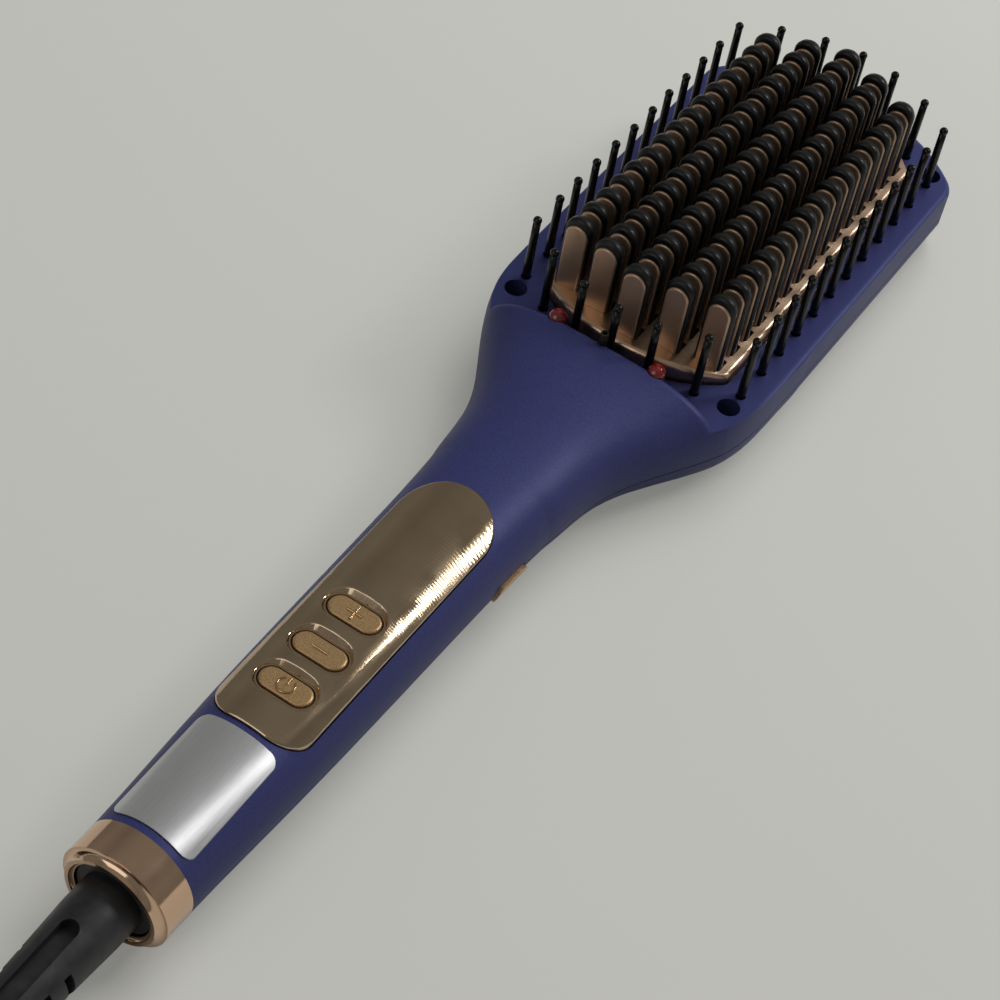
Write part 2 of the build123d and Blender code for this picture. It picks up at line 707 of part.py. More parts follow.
with BuildPart() as front_shell:
    add(outer)
    add(inner, mode=Mode.SUBTRACT)
    add(spigot)
    add(front_posts.part)
    split(bisect_by=Plane.XY.offset(PARTING_Z), keep=Keep.TOP)
    add(seam_ring.part, mode=Mode.SUBTRACT)
    with BuildSketch(level(0)):
        for x, place in HEAD_SCREW_PLACES:
            with Locations((x, place)):
                Circle(SCREW_RADIUS + SCREW_HOLE_GAP)
    extrude(amount=2 * RIM_Z, mode=Mode.SUBTRACT)
    with BuildSketch(level(SCREW_SEAT_Z)):
        for x, place in HEAD_SCREW_PLACES:
            with Locations((x, place)):
                Circle(RECESS_RADIUS)
    extrude(amount=2 * RIM_Z, mode=Mode.SUBTRACT)
    with BuildSketch(level(0)):
        for place in HANDLE_SCREW_PLACES:
            with Locations((0, place)):
                Circle(SCREW_RADIUS + SCREW_FIT)
    extrude(amount=HANDLE_SCREW_END_Z + SCREW_TIP_GAP, mode=Mode.SUBTRACT)
    with BuildSketch(level(PLATE_BASE_Z)):
        add(plate_outline(PLATE_GAP))
    extrude(amount=2 * RIM_Z, mode=Mode.SUBTRACT)
    with BuildSketch(level(PIN_ROOT_Z)):
        with Locations(*pin_places()):
            Circle(PIN_BASE_RADIUS + PIN_HOLE_GAP)
        with Locations((LENS_X, LENS_PLACE), (-LENS_X, LENS_PLACE)):
            Circle(LENS_RADIUS + LENS_GAP)
        with Locations((NOZZLE_X, NOZZLE_PLACE)):
            Circle(NOZZLE_RADIUS + PIN_HOLE_GAP)
    extrude(amount=2 * RIM_Z, mode=Mode.SUBTRACT)
    with BuildSketch(level(PANEL_SEAT_Z)):
        add(panel_outline(PANEL_GAP))
    extrude(amount=RIM_Z, mode=Mode.SUBTRACT)
    add(side_button_prism(BUTTON_GAP, SIDE_BUTTON_INSIDE, HEAD_HALF), mode=Mode.SUBTRACT)
finish(front_shell.part, "front_shell")

with BuildPart() as rear_shell:
    add(outer)
    add(inner, mode=Mode.SUBTRACT)
    add(spigot)
    split(bisect_by=Plane.XY.offset(PARTING_Z), keep=Keep.BOTTOM)
    add(rear_posts.part)
    add(seam_ring.part, mode=Mode.SUBTRACT)
    with BuildSketch(level(HEAD_SCREW_END_Z - SCREW_TIP_GAP)):
        for x, place in HEAD_SCREW_PLACES:
            with Locations((x, place)):
                Circle(SCREW_RADIUS + SCREW_FIT)
    extrude(amount=RIM_Z, mode=Mode.SUBTRACT)
    with BuildSketch(level(0)):
        for place in HANDLE_SCREW_PLACES:
            with Locations((0, place)):
                Circle(SCREW_RADIUS + SCREW_HOLE_GAP)
    extrude(amount=RIM_Z, mode=Mode.SUBTRACT)
    with BuildSketch(level(0)):
        for place in HANDLE_SCREW_PLACES:
            with Locations((0, place)):
                Circle(RECESS_RADIUS)
    extrude(amount=HANDLE_SCREW_SEAT_Z, mode=Mode.SUBTRACT)
    with BuildSketch(across(SPOUT_HOLE_START, FILLER_Z)):
        Circle(SPOUT_RADIUS + MOVING_GAP)
    extrude(amount=-2 * HEAD_HALF, mode=Mode.SUBTRACT)
    with BuildSketch(across(PUMP_TAIL, PUMP_Z)):
        with Locations((PUMP_X, 0)):
            Circle(PUMP_RADIUS)
    extrude(amount=PUMP_TAIL - PUMP_FRONT, mode=Mode.SUBTRACT)
    add(side_button_prism(BUTTON_GAP, SIDE_BUTTON_INSIDE, HEAD_HALF), mode=Mode.SUBTRACT)
finish(rear_shell.part, "rear_shell")

with BuildPart() as head_screws:
    for x, place in HEAD_SCREW_PLACES:
        add(post(x, place, SCREW_HEAD_RADIUS, SCREW_SEAT_Z, SCREW_SEAT_Z + SCREW_HEAD_HEIGHT))
        add(post(x, place, SCREW_RADIUS, HEAD_SCREW_END_Z, SCREW_SEAT_Z))
    with BuildSketch(level(SCREW_SEAT_Z + SCREW_HEAD_HEIGHT)):
        for x, place in HEAD_SCREW_PLACES:
            with Locations((x, place)):
                cross_slot()
    extrude(amount=-SCREW_SLOT_DEPTH, mode=Mode.SUBTRACT)
finish(head_screws.part, "head_screws")

with BuildPart() as handle_screws:
    for place in HANDLE_SCREW_PLACES:
        add(post(0, place, SCREW_HEAD_RADIUS, HANDLE_SCREW_SEAT_Z - SCREW_HEAD_HEIGHT, HANDLE_SCREW_SEAT_Z))
        add(post(0, place, SCREW_RADIUS, HANDLE_SCREW_SEAT_Z, HANDLE_SCREW_END_Z))
    with BuildSketch(level(HANDLE_SCREW_SEAT_Z - SCREW_HEAD_HEIGHT)):
        for place in HANDLE_SCREW_PLACES:
            with Locations((0, place)):
                cross_slot()
    extrude(amount=SCREW_SLOT_DEPTH, mode=Mode.SUBTRACT)
finish(handle_screws.part, "handle_screws")

with BuildPart() as rating_label:
    with BuildSketch(level(HANDLE_AXIS_Z)):
        with Locations((0, (LABEL_TAIL + LABEL_FRONT) / 2)):
            RectangleRounded(LABEL_WIDTH, LABEL_FRONT - LABEL_TAIL, LABEL_CORNER)
    extrude(amount=2 * RIM_Z)
    add(label_form, mode=Mode.INTERSECT)
    add(outer, mode=Mode.SUBTRACT)
finish(rating_label.part, "rating_label")

# ---------------------------------------------------------------- control panel and buttons
with BuildPart() as control_panel:
    with BuildSketch(level(PANEL_SEAT_Z)):
        add(panel_outline(0))
    extrude(amount=RIM_Z)
    add(panel_form, mode=Mode.INTERSECT)
    with BuildSketch(level(PANEL_SEAT_Z)):
        with Locations((0, DISPLAY_PLACE)):
            Rectangle(DISPLAY_WIDTH + 2 * INSIDE_GAP, DISPLAY_LENGTH + 2 * INSIDE_GAP)
    extrude(amount=DISPLAY_TOP_Z + INSIDE_GAP - PANEL_SEAT_Z, mode=Mode.SUBTRACT)
    with BuildSketch(level(BUTTON_TOP_Z - DISH_DEPTH / 2)):
        for place in BUTTON_PLACES.values():
            with Locations((0, place)):
                SlotOverall(BUTTON_LENGTH + DISH_MARGIN, BUTTON_WIDTH + DISH_MARGIN)
    extrude(amount=2 * DISH_DEPTH, taper=-DISH_SLOPE, mode=Mode.SUBTRACT)
    with BuildSketch(level(PANEL_SEAT_Z)):
        for place in BUTTON_PLACES.values():
            with Locations((0, place)):
                SlotOverall(BUTTON_LENGTH + 2 * BUTTON_GAP, BUTTON_WIDTH + 2 * BUTTON_GAP)
    extrude(amount=RIM_Z, mode=Mode.SUBTRACT)
    fillet(control_panel.faces().sort_by(SortBy.AREA)[-1].outer_wire().edges(), radius=PANEL_EDGE_ROUND)
    dishes = control_panel.faces().sort_by(SortBy.AREA)[-1].inner_wires()
    fillet([edge for dish in dishes for edge in dish.edges()], radius=DISH_EDGE_ROUND)
finish(control_panel.part, "control_panel")


def push_button(name, place):
    """A push button: crowned cap with its symbol, a flange that holds it in, and a stem to its switch."""
    with BuildPart() as button:
        with BuildSketch(level(BUTTON_FLANGE_Z)):
            with Locations((0, place)):
                SlotOverall(BUTTON_LENGTH, BUTTON_WIDTH)
        extrude(amount=BUTTON_TOP_Z - BUTTON_FLANGE_Z)
        fillet(button.faces().sort_by(Axis.Z)[-1].edges(), radius=BUTTON_ROUND)
        with BuildSketch(level(BUTTON_FLANGE_Z)):
            with Locations((0, place)):
                SlotOverall(BUTTON_LENGTH + 2 * BUTTON_FLANGE, BUTTON_WIDTH + 2 * BUTTON_FLANGE)
        extrude(amount=BUTTON_FLANGE_THICKNESS)
        add(post(0, place, BUTTON_STEM_RADIUS, STEM_END_Z, BUTTON_FLANGE_Z))
        with BuildSketch(level(BUTTON_TOP_Z - SYMBOL_HEIGHT)):
            with Locations((0, place)):
                if name == "power_button":
                    Circle(SYMBOL_REACH + SYMBOL_LINE / 2)
                    Circle(SYMBOL_REACH - SYMBOL_LINE / 2, mode=Mode.SUBTRACT)
                    with Locations((0, SYMBOL_REACH)):
                        Rectangle(3 * SYMBOL_LINE, SYMBOL_REACH, mode=Mode.SUBTRACT)
                        Rectangle(SYMBOL_LINE, SYMBOL_REACH)
                else:
                    Rectangle(2 * SYMBOL_REACH, SYMBOL_LINE)
                    if name == "plus_button":
                        Rectangle(SYMBOL_LINE, 2 * SYMBOL_REACH)
        extrude(amount=2 * SYMBOL_HEIGHT)
    finish(button.part, name)


for button_name, button_place in BUTTON_PLACES.items():
    push_button(button_name, button_place)

with BuildPart() as side_button:
    add(outer.moved(Location((SIDE_BUTTON_PROUD, 0, 0))))
    add(side_button_prism(0, SIDE_BUTTON_INSIDE, HEAD_HALF), mode=Mode.INTERSECT)
    with BuildSketch(along(SIDE_BUTTON_INSIDE, SIDE_BUTTON_Z)):
        with Locations((SIDE_BUTTON_PLACE, 0)):
            RectangleRounded(SIDE_BUTTON_LENGTH + 2 * BUTTON_FLANGE, SIDE_BUTTON_HEIGHT, SIDE_BUTTON_CORNER)
    extrude(amount=BUTTON_FLANGE_THICKNESS)
    with BuildSketch(along(SIDE_BUTTON_INSIDE, SIDE_BUTTON_Z)):
        with Locations((SIDE_BUTTON_PLACE, 0)):
            Circle(SIDE_STEM_RADIUS)
    extrude(amount=SIDE_STEM_END_X - SIDE_BUTTON_INSIDE)
finish(side_button.part, "side_button")

# ---------------------------------------------------------------- electronics in the handle
with BuildPart() as main_board:
    add(block(0, (PCB_TAIL + PCB_FRONT) / 2, PCB_WIDTH, PCB_FRONT - PCB_TAIL, PCB_BOTTOM_Z, PCB_TOP_Z))
finish(main_board.part, "main_board")

with BuildPart() as button_switches:
    for place in BUTTON_PLACES.values():
        add(block(0, place, SWITCH_SIZE, SWITCH_SIZE, PCB_TOP_Z, PCB_TOP_Z + SWITCH_HEIGHT))
        add(post(0, place, PLUNGER_RADIUS, PCB_TOP_Z + SWITCH_HEIGHT, PLUNGER_TOP_Z))
finish(button_switches.part, "button_switches")

with BuildPart() as display_module:
    add(block(0, DISPLAY_PLACE, DISPLAY_WIDTH, DISPLAY_LENGTH, PCB_TOP_Z, DISPLAY_TOP_Z))
finish(display_module.part, "display_module")

with BuildPart() as power_parts:
    with BuildSketch(across(CAPACITOR_PLACE, PCB_BOTTOM_Z - CAPACITOR_RADIUS)):
        with Locations((CAPACITOR_X, 0)):
            Circle(CAPACITOR_RADIUS)
    extrude(amount=CAPACITOR_LENGTH / 2, both=True)
    with BuildSketch(across(CAP_FUSE_PLACE, PCB_BOTTOM_Z - CAP_FUSE_RADIUS)):
        with Locations((CAP_FUSE_X, 0)):
            Circle(CAP_FUSE_RADIUS)
    extrude(amount=CAP_FUSE_LENGTH / 2, both=True)
    add(block(0, TRIAC_PLACE, TRIAC_WIDTH, TRIAC_LENGTH, PCB_BOTTOM_Z - TRIAC_HEIGHT, PCB_BOTTOM_Z))
finish(power_parts.part, "power_parts")

SIDE_SWITCH_X = SIDE_STEM_END_X - SIDE_BUTTON_TRAVEL - SWITCH_SLACK
with BuildPart() as side_switch:
    with BuildSketch(along(SIDE_SWITCH_X - SIDE_PLUNGER, SIDE_BUTTON_Z)):
        with Locations((SIDE_BUTTON_PLACE, 0)):
            Rectangle(SWITCH_SIZE, SWITCH_SIZE)
    extrude(amount=-SWITCH_HEIGHT)
    with BuildSketch(along(SIDE_SWITCH_X - SIDE_PLUNGER, SIDE_BUTTON_Z)):
        with Locations((SIDE_BUTTON_PLACE, 0)):
            Circle(SIDE_STEM_RADIUS)
    extrude(amount=SIDE_PLUNGER)
finish(side_switch.part, "side_switch")

with BuildPart() as switch_board:
    board_x = SIDE_SWITCH_X - SIDE_PLUNGER - SWITCH_HEIGHT
    with BuildSketch(along(board_x, 0)):
        board_tail = PCB_FRONT - SWITCH_BOARD_OVERLAP
        board_front = SIDE_BUTTON_PLACE + SWITCH_SIZE
        with Locations(((board_tail + board_front) / 2, (SWITCH_BOARD_Z + PCB_BOTTOM_Z) / 2)):
            Rectangle(board_front - board_tail, PCB_BOTTOM_Z - SWITCH_BOARD_Z)
    extrude(amount=-PCB_THICKNESS)
finish(switch_board.part, "switch_board")

# ---------------------------------------------------------------- heated field
with BuildPart() as heating_plate:
    with BuildSketch(level(PLATE_BASE_Z)):
        add(plate_outline(0))
    extrude(amount=RIM_Z)
    crown_z = RIM_Z + PLATE_PROUD - PLATE_CROWN_RADIUS
    with BuildSketch(across(-HEAD_TIP, crown_z)):
        Circle(PLATE_CROWN_RADIUS)
    extrude(amount=-2 * HEAD_TIP, mode=Mode.INTERSECT)
    crown = heating_plate.faces().filter_by(GeomType.CYLINDER).sort_by(Axis.Z)[-1]
    fillet(crown.edges(), radius=PLATE_EDGE_ROUND)
    fin_shift = FIN_FRONT + FIN_THICKNESS / 2
    tooth_shift = FIN_FRONT + FIN_THICKNESS + TOOTH_THICKNESS / 2
    for column in range(len(COLUMN_COUNTS)):
        with BuildSketch(level(0)):
            with Locations(*[(x, place + fin_shift) for x, place in column_places(column)]):
                Rectangle(FIN_WIDTH + 2 * SLOT_FIT, FIN_THICKNESS + 2 * SLOT_FIT)
            with Locations(*[(x, place + tooth_shift) for x, place in column_places(column)]):
                Rectangle(TOOTH_WIDTH + 2 * SLOT_FIT, TOOTH_THICKNESS + 2 * SLOT_FIT)
        extrude(amount=2 * RIM_Z, mode=Mode.SUBTRACT)
finish(heating_plate.part, "heating_plate")


def blade(place, width, thickness, top_z, edge, both_faces):
    """An upright blade with a full round top, from the spreader up, its edge softened."""
    with BuildPart() as piece:
        with BuildSketch(across(place, 0)):
            with Locations((0, (PLATE_BASE_Z + top_z - width / 2) / 2)):
                Rectangle(width, top_z - width / 2 - PLATE_BASE_Z)
            with Locations((0, top_z - width / 2)):
                Circle(width / 2)
        extrude(amount=-thickness)
        faces = piece.faces().filter_by(Axis.Y).sort_by(Axis.Y)
        rims = faces[0].edges() + (faces[-1].edges() if both_faces else [])
        fillet([rim for rim in rims if rim.center().Z > PLATE_BASE_Z + BLADE_FOOT], radius=edge)
    return piece.part


for column in range(len(COLUMN_COUNTS)):
    spots = column_places(column)
    fin_top_z = plate_top(spots[0][0]) + FIN_HEIGHT
    fin = blade(FIN_FRONT, FIN_WIDTH, FIN_THICKNESS, fin_top_z, FIN_BEVEL, False)
    tooth = blade(
        FIN_FRONT + FIN_THICKNESS, TOOTH_WIDTH, TOOTH_THICKNESS, fin_top_z + TOOTH_OVER, TOOTH_ROUND, True
    )
    for piece, name in ((fin, "heating_fins"), (tooth, "comb_teeth")):
        with BuildPart() as row:
            for x, place in spots:
                add(piece.moved(Location((x, place, 0))))
        finish(row.part, f"{name}_{column + 1}")

with BuildPart() as guard_pin:
    with BuildSketch(Plane.XZ):
        with BuildLine():
            ball_z = RIM_Z + PIN_HEIGHT - PIN_BALL_RADIUS
            neck_z = ball_z - sqrt(PIN_BALL_RADIUS**2 - PIN_NECK_RADIUS**2)
            shoulder = (PIN_BASE_RADIUS, RIM_Z)
            Polyline((0, PIN_ROOT_Z), (PIN_BASE_RADIUS, PIN_ROOT_Z), shoulder, (PIN_NECK_RADIUS, neck_z))
            ThreePointArc((PIN_NECK_RADIUS, neck_z), (PIN_BALL_RADIUS, ball_z), (0, ball_z + PIN_BALL_RADIUS))
            Line((0, ball_z + PIN_BALL_RADIUS), (0, PIN_ROOT_Z))
        make_face()
    revolve(axis=Axis.Z)
with BuildPart() as guard_pins:
    for x, place in pin_places():
        add(guard_pin.part.moved(Location((x, FIELD_Y + place, 0))))
finish(guard_pins.part, "guard_pins")

with BuildPart() as heat_spreader:
    with BuildSketch(level(SPREADER_Z)):
        add(plate_outline(SPREADER_GROW))
    extrude(amount=SPREADER_THICKNESS)
    with BuildSketch(level(SPREADER_Z)):
        with Locations(*CLAMP_SCREW_SPOTS):
            Circle(SCREW_RADIUS + SCREW_FIT)
    extrude(amount=SPREADER_THICKNESS, mode=Mode.SUBTRACT)
finish(heat_spreader.part, "heat_spreader")

with BuildPart() as pin_frame:
    with BuildSketch(level(SPREADER_Z)):
        add(field_outline(FRAME_HALF, FRAME_END, FRAME_END_RADIUS, FRAME_CORNER))
        add(plate_outline(SPREADER_GROW + INSIDE_GAP), mode=Mode.SUBTRACT)
        with Locations(*HEAD_SCREW_PLACES):
            Circle(SCREW_BOSS_RADIUS + INSIDE_GAP, mode=Mode.SUBTRACT)
        with Locations((LENS_X, LENS_PLACE), (-LENS_X, LENS_PLACE)):
            Circle(LENS_RADIUS + INSIDE_GAP, mode=Mode.SUBTRACT)
    extrude(amount=PIN_ROOT_Z - SPREADER_Z)
finish(pin_frame.part, "pin_frame")

for hand, side in ((-1, "left"), (1, "right")):
    with BuildPart() as heater:
        add(block(hand * HEATER_X, 0, HEATER_WIDTH, HEATER_LENGTH, HEATER_Z, SPREADER_Z))
    finish(heater.part, f"heater_{side}")

with BuildPart() as mica_sheet:
    with BuildSketch(level(MICA_Z)):
        Rectangle(CLAMP_WIDTH, CLAMP_LENGTH)
        Rectangle(MICA_WINDOW_WIDTH, MICA_WINDOW_LENGTH, mode=Mode.SUBTRACT)
        with Locations(*CLAMP_SCREW_SPOTS):
            Circle(SCREW_RADIUS + SCREW_HOLE_GAP, mode=Mode.SUBTRACT)
    extrude(amount=MICA_THICKNESS)
finish(mica_sheet.part, "mica_sheet")

with BuildPart() as heater_clamp:
    with BuildSketch(level(CLAMP_Z)):
        Rectangle(CLAMP_WIDTH, CLAMP_LENGTH)
        with Locations(*CLAMP_SCREW_SPOTS):
            Circle(SCREW_RADIUS + SCREW_HOLE_GAP, mode=Mode.SUBTRACT)
    extrude(amount=CLAMP_THICKNESS)
finish(heater_clamp.part, "heater_clamp")

with BuildPart() as clamp_screws:
    for x, place in CLAMP_SCREW_SPOTS:
        add(post(x, place, SCREW_HEAD_RADIUS, CLAMP_Z - SCREW_HEAD_HEIGHT, CLAMP_Z))
        add(post(x, place, SCREW_RADIUS, CLAMP_Z, PLATE_BASE_Z))
finish(clamp_screws.part, "clamp_screws")

with BuildPart() as thermistor:
    with BuildSketch(across(0, SPREADER_Z - THERMISTOR_RADIUS)):
        Circle(THERMISTOR_RADIUS)
    extrude(amount=THERMISTOR_LENGTH / 2, both=True)
finish(thermistor.part, "thermistor")

with BuildPart() as thermal_fuse:
    with BuildSketch(across(FUSE_PLACE, CLAMP_Z - FUSE_RADIUS)):
        Circle(FUSE_RADIUS)
    extrude(amount=FUSE_LENGTH / 2, both=True)
finish(thermal_fuse.part, "thermal_fuse")

# ---------------------------------------------------------------- lenses and steam
for hand, side in ((-1, "left"), (1, "right")):
    x = hand * LENS_X
    with BuildPart() as red_lens:
        add(post(x, LENS_PLACE, LENS_FLANGE_RADIUS, LENS_BOARD_TOP_Z, SPREADER_Z))
        add(post(x, LENS_PLACE, LENS_RADIUS, SPREADER_Z, LENS_TOP_Z))
        fillet(red_lens.faces().sort_by(Axis.Z)[-1].edges(), radius=LENS_RADIUS - LENS_FLAT)
    finish(red_lens.part, f"red_lens_{side}")

with BuildPart() as lens_board:
    board_width = 2 * (LENS_X + LENS_FLANGE_RADIUS)
    add(block(0, LENS_PLACE, board_width, LENS_BOARD_LENGTH, LENS_BOARD_Z, LENS_BOARD_TOP_Z))
    add(post(NOZZLE_X, NOZZLE_PLACE, NOZZLE_RADIUS + INSIDE_GAP, 0, RIM_Z), mode=Mode.SUBTRACT)
finish(lens_board.part, "lens_board")

with BuildPart() as vaporiser:
    add(block(0, VAPORISER_PLACE, VAPORISER_WIDTH, VAPORISER_LENGTH, VAPORISER_Z, LENS_BOARD_Z))
finish(vaporiser.part, "vaporiser")

with BuildPart() as steam_nozzle:
    add(post(NOZZLE_X, NOZZLE_PLACE, NOZZLE_RADIUS, LENS_BOARD_Z, NOZZLE_TOP_Z))
    add(post(NOZZLE_X, NOZZLE_PLACE, NOZZLE_BORE, LENS_BOARD_Z, NOZZLE_TOP_Z), mode=Mode.SUBTRACT)
finish(steam_nozzle.part, "steam_nozzle")

TANK_MIDDLE = (TANK_TAIL + TANK_FRONT) / 2
TANK_LENGTH = TANK_FRONT - TANK_TAIL
SPOUT_END = HEAD_TIP - SPOUT_SETBACK
with BuildPart() as water_tank:
    with BuildSketch(level(WALL)):
        with Locations((0, TANK_MIDDLE)):
            RectangleRounded(2 * TANK_HALF, TANK_LENGTH, TANK_CORNER)
    extrude(amount=TANK_HEIGHT)
    with BuildSketch(across(TANK_FRONT - TANK_WALL, FILLER_Z)):
        Circle(SPOUT_RADIUS)
    extrude(amount=TANK_FRONT - TANK_WALL - SPOUT_END)
    room_width = 2 * (TANK_HALF - TANK_WALL)
    room_length = TANK_LENGTH - 2 * TANK_WALL
    with BuildSketch(level(WALL + TANK_WALL)):
        with Locations((0, TANK_MIDDLE)):
            RectangleRounded(room_width, room_length, TANK_CORNER - TANK_WALL)
    extrude(amount=TANK_HEIGHT - 2 * TANK_WALL, mode=Mode.SUBTRACT)
    with BuildSketch(across(TANK_FRONT - 2 * TANK_WALL, FILLER_Z)):
        Circle(PLUG_SHANK_RADIUS + PLUG_FIT)
    extrude(amount=-HEAD_TIP, mode=Mode.SUBTRACT)
finish(water_tank.part, "water_tank")

with BuildPart() as filler_plug:
    with BuildSketch(across(SPOUT_END + MOVING_GAP, FILLER_Z)):
        Circle(SPOUT_RADIUS)
    extrude(amount=-HEAD_TIP)
    add(outer, mode=Mode.INTERSECT)
    with BuildSketch(across(SPOUT_END + MOVING_GAP, FILLER_Z)):
        Circle(PLUG_SHANK_RADIUS)
    extrude(amount=PLUG_DEPTH)
finish(filler_plug.part, "filler_plug")

with BuildPart() as steam_pump:
    with BuildSketch(across(PUMP_TAIL, PUMP_Z)):
        with Locations((PUMP_X, 0)):
            Circle(PUMP_RADIUS)
    extrude(amount=PUMP_TAIL - PUMP_FRONT)
finish(steam_pump.part, "steam_pump")

with BuildPart() as water_hose:
    add(tube_along(HOSE_ROUTE, HOSE_RADIUS, HOSE_BEND))
    with BuildSketch(across(PUMP_FRONT, HOSE_UPPER_Z)):
        with Locations((PUMP_X, 0)):
            Circle(HOSE_RADIUS)
    extrude(amount=PUMP_FRONT - (VAPORISER_PLACE - VAPORISER_LENGTH / 2))
finish(water_hose.part, "water_hose")

with BuildPart() as inner_leads:
    for route in LEAD_ROUTES:
        add(tube_along(route, LEAD_RADIUS, LEAD_BEND))
    for x, place in CONTACT_SPOTS:
        with BuildSketch(across(place + CONTACT_SIZE / 2, PCB_BOTTOM_Z + PCB_THICKNESS / 2)):
            with Locations((x, 0)):
                Circle(LEAD_RADIUS)
        extrude(amount=place + CONTACT_SIZE / 2 - PCB_TAIL)
finish(inner_leads.part, "inner_leads")

# ---------------------------------------------------------------- tail and swivel
with BuildPart() as collar:
    with BuildSketch(along(0, HANDLE_AXIS_Z)):
        with BuildLine():
            bore = SPIGOT_RADIUS + SLOT_FIT
            lip = COLLAR_TAIL + COLLAR_ROUND
            mouth = COLLAR_MOUTH + COLLAR_MOUTH_ROUND
            mouth_lip = COLLAR_TAIL + COLLAR_MOUTH_ROUND
            Polyline((lip, TAIL_RADIUS), (COLLAR_FRONT, TAIL_RADIUS), (COLLAR_FRONT, bore), (COLLAR_LIP, bore),
                     (COLLAR_LIP, COLLAR_MOUTH), (mouth_lip, COLLAR_MOUTH))
            RadiusArc((mouth_lip, COLLAR_MOUTH), (COLLAR_TAIL, mouth), -COLLAR_MOUTH_ROUND)
            Line((COLLAR_TAIL, mouth), (COLLAR_TAIL, TAIL_RADIUS - COLLAR_ROUND))
            RadiusArc((COLLAR_TAIL, TAIL_RADIUS - COLLAR_ROUND), (lip, TAIL_RADIUS), -COLLAR_ROUND)
        make_face()
    revolve(axis=HANDLE_AXIS)
finish(collar.part, "collar")

BUSH_BORE = BARB_RADIUS + SLOT_FIT
flange_start = COLLAR_LIP + RUNNING_GAP
flange_end = SPIGOT_END - RUNNING_GAP
step_start = SPIGOT_START + RUNNING_GAP
swivel_outline = [
    (BOOT_START, BUSH_BORE),
    (BOOT_START, COLLAR_MOUTH - RUNNING_GAP),
    (flange_start, COLLAR_MOUTH - RUNNING_GAP),
    (flange_start, FLANGE_RADIUS),
    (flange_end, FLANGE_RADIUS),
    (flange_end, BUSH_RADIUS),
    (step_start, BUSH_RADIUS),
    (step_start, BUSH_TUBE_RADIUS),
]
for _, place in CONTACT_SPOTS:
    ring_tail = place - RING_WIDTH / 2
    ring_front = place + RING_WIDTH / 2
    swivel_outline += [(ring_tail, BUSH_TUBE_RADIUS), (ring_tail, RING_RADIUS)]
    swivel_outline += [(ring_front, RING_RADIUS), (ring_front, BUSH_TUBE_RADIUS)]
swivel_outline += [(BUSH_INNER_END, BUSH_TUBE_RADIUS), (BUSH_INNER_END, BUSH_BORE)]
with BuildPart() as swivel_bush:
    add(turned(swivel_outline))
finish(swivel_bush.part, "swivel_bush")

with BuildPart() as swivel_contacts:
    for x, place in CONTACT_SPOTS:
        with BuildSketch(across(place, HANDLE_AXIS_Z)):
            with Locations((x, 0)):
                Rectangle(CONTACT_THICKNESS, CONTACT_SIZE)
        extrude(amount=CONTACT_SIZE / 2, both=True)
finish(swivel_contacts.part, "swivel_contacts")

with BuildPart() as strain_relief:
    add(turned((
        (BARB_END, 0),
        (BARB_END, BARB_RADIUS),
        (BOOT_START, BARB_RADIUS),
        (BOOT_START, BOOT_RADIUS),
        (BOOT_TAPER_START, BOOT_RADIUS),
        (BOOT_END, BOOT_TIP_RADIUS),
        (BOOT_END, CORD_RADIUS + INSIDE_GAP),
        (BOOT_END + BOOT_BORE_DEPTH, CORD_RADIUS + INSIDE_GAP),
        (BOOT_END + BOOT_BORE_DEPTH, 0),
    )))
    slot_middle = (BOOT_SLOT_START + BOOT_SLOT_END) / 2
    slot_length = BOOT_SLOT_START - BOOT_SLOT_END
    for side in (1, -1):
        with BuildSketch(level(HANDLE_AXIS_Z + side * BOOT_SLOT_FLOOR)):
            with Locations((0, slot_middle)):
                SlotOverall(slot_length, BOOT_SLOT_WIDTH, rotation=90)
        extrude(amount=side * BOOT_RADIUS, mode=Mode.SUBTRACT)
    for notch in range(BOOT_NOTCHES):
        with BuildSketch(across(BOOT_NOTCH_START - notch * BOOT_NOTCH_PITCH, HANDLE_AXIS_Z)):
            Rectangle(4 * BOOT_RADIUS, 2 * BOOT_NOTCH_REACH)
            Circle(BOOT_CORE_RADIUS, mode=Mode.SUBTRACT)
        extrude(amount=BOOT_NOTCH_WIDTH, mode=Mode.SUBTRACT)
finish(strain_relief.part, "strain_relief")

# ---------------------------------------------------------------- cord, put away as a coil, and its plug


def cord_tube(name, points):
    """A stretch of the cord: straight runs joined by the largest tangent arcs."""
    route = [Vector(*point) for point in points]
    radii = []
    for before, at, after in zip(route, route[1:], route[2:]):
        turn = (at - before).get_angle(after - at)
        shorter = min((at - before).length, (after - at).length)
        radii.append(CORD_ARC_SHARE * shorter / tan(radians(turn) / 2))
    print(name, "arc radii", [round(radius, 1) for radius in radii])
    with BuildPart() as tube:
        with BuildLine() as path:
            FilletPolyline(*route, radius=radii)
        with BuildSketch(Plane(origin=path.line @ 0, z_dir=path.line % 0)):
            Circle(CORD_RADIUS)
        sweep(path=path.line)
    length = path.wires()[0].length
    expected = pi * CORD_RADIUS**2 * length
    print(name, "length", round(length, 1), "volume share", round(tube.part.volume / expected, 4))
    finish(tube.part, name)


cord_tube("cord_lead", CORD_LEAD)
cord_tube("cord_tail", CORD_TAIL)

with BuildPart() as cord_coil:
    with BuildSketch(level(0)):
        with Locations((COIL_CENTRE[0], COIL_CENTRE[1] - FIELD_Y)):
            Circle(COIL_OUTER + CORD_RADIUS)
            Circle(COIL_INNER - CORD_RADIUS, mode=Mode.SUBTRACT)
    extrude(amount=COIL_LAYERS * 2 * CORD_RADIUS)
    fillet(cord_coil.edges().filter_by(GeomType.CIRCLE), radius=COIL_ROUND)
finish(cord_coil.part, "cord_coil")

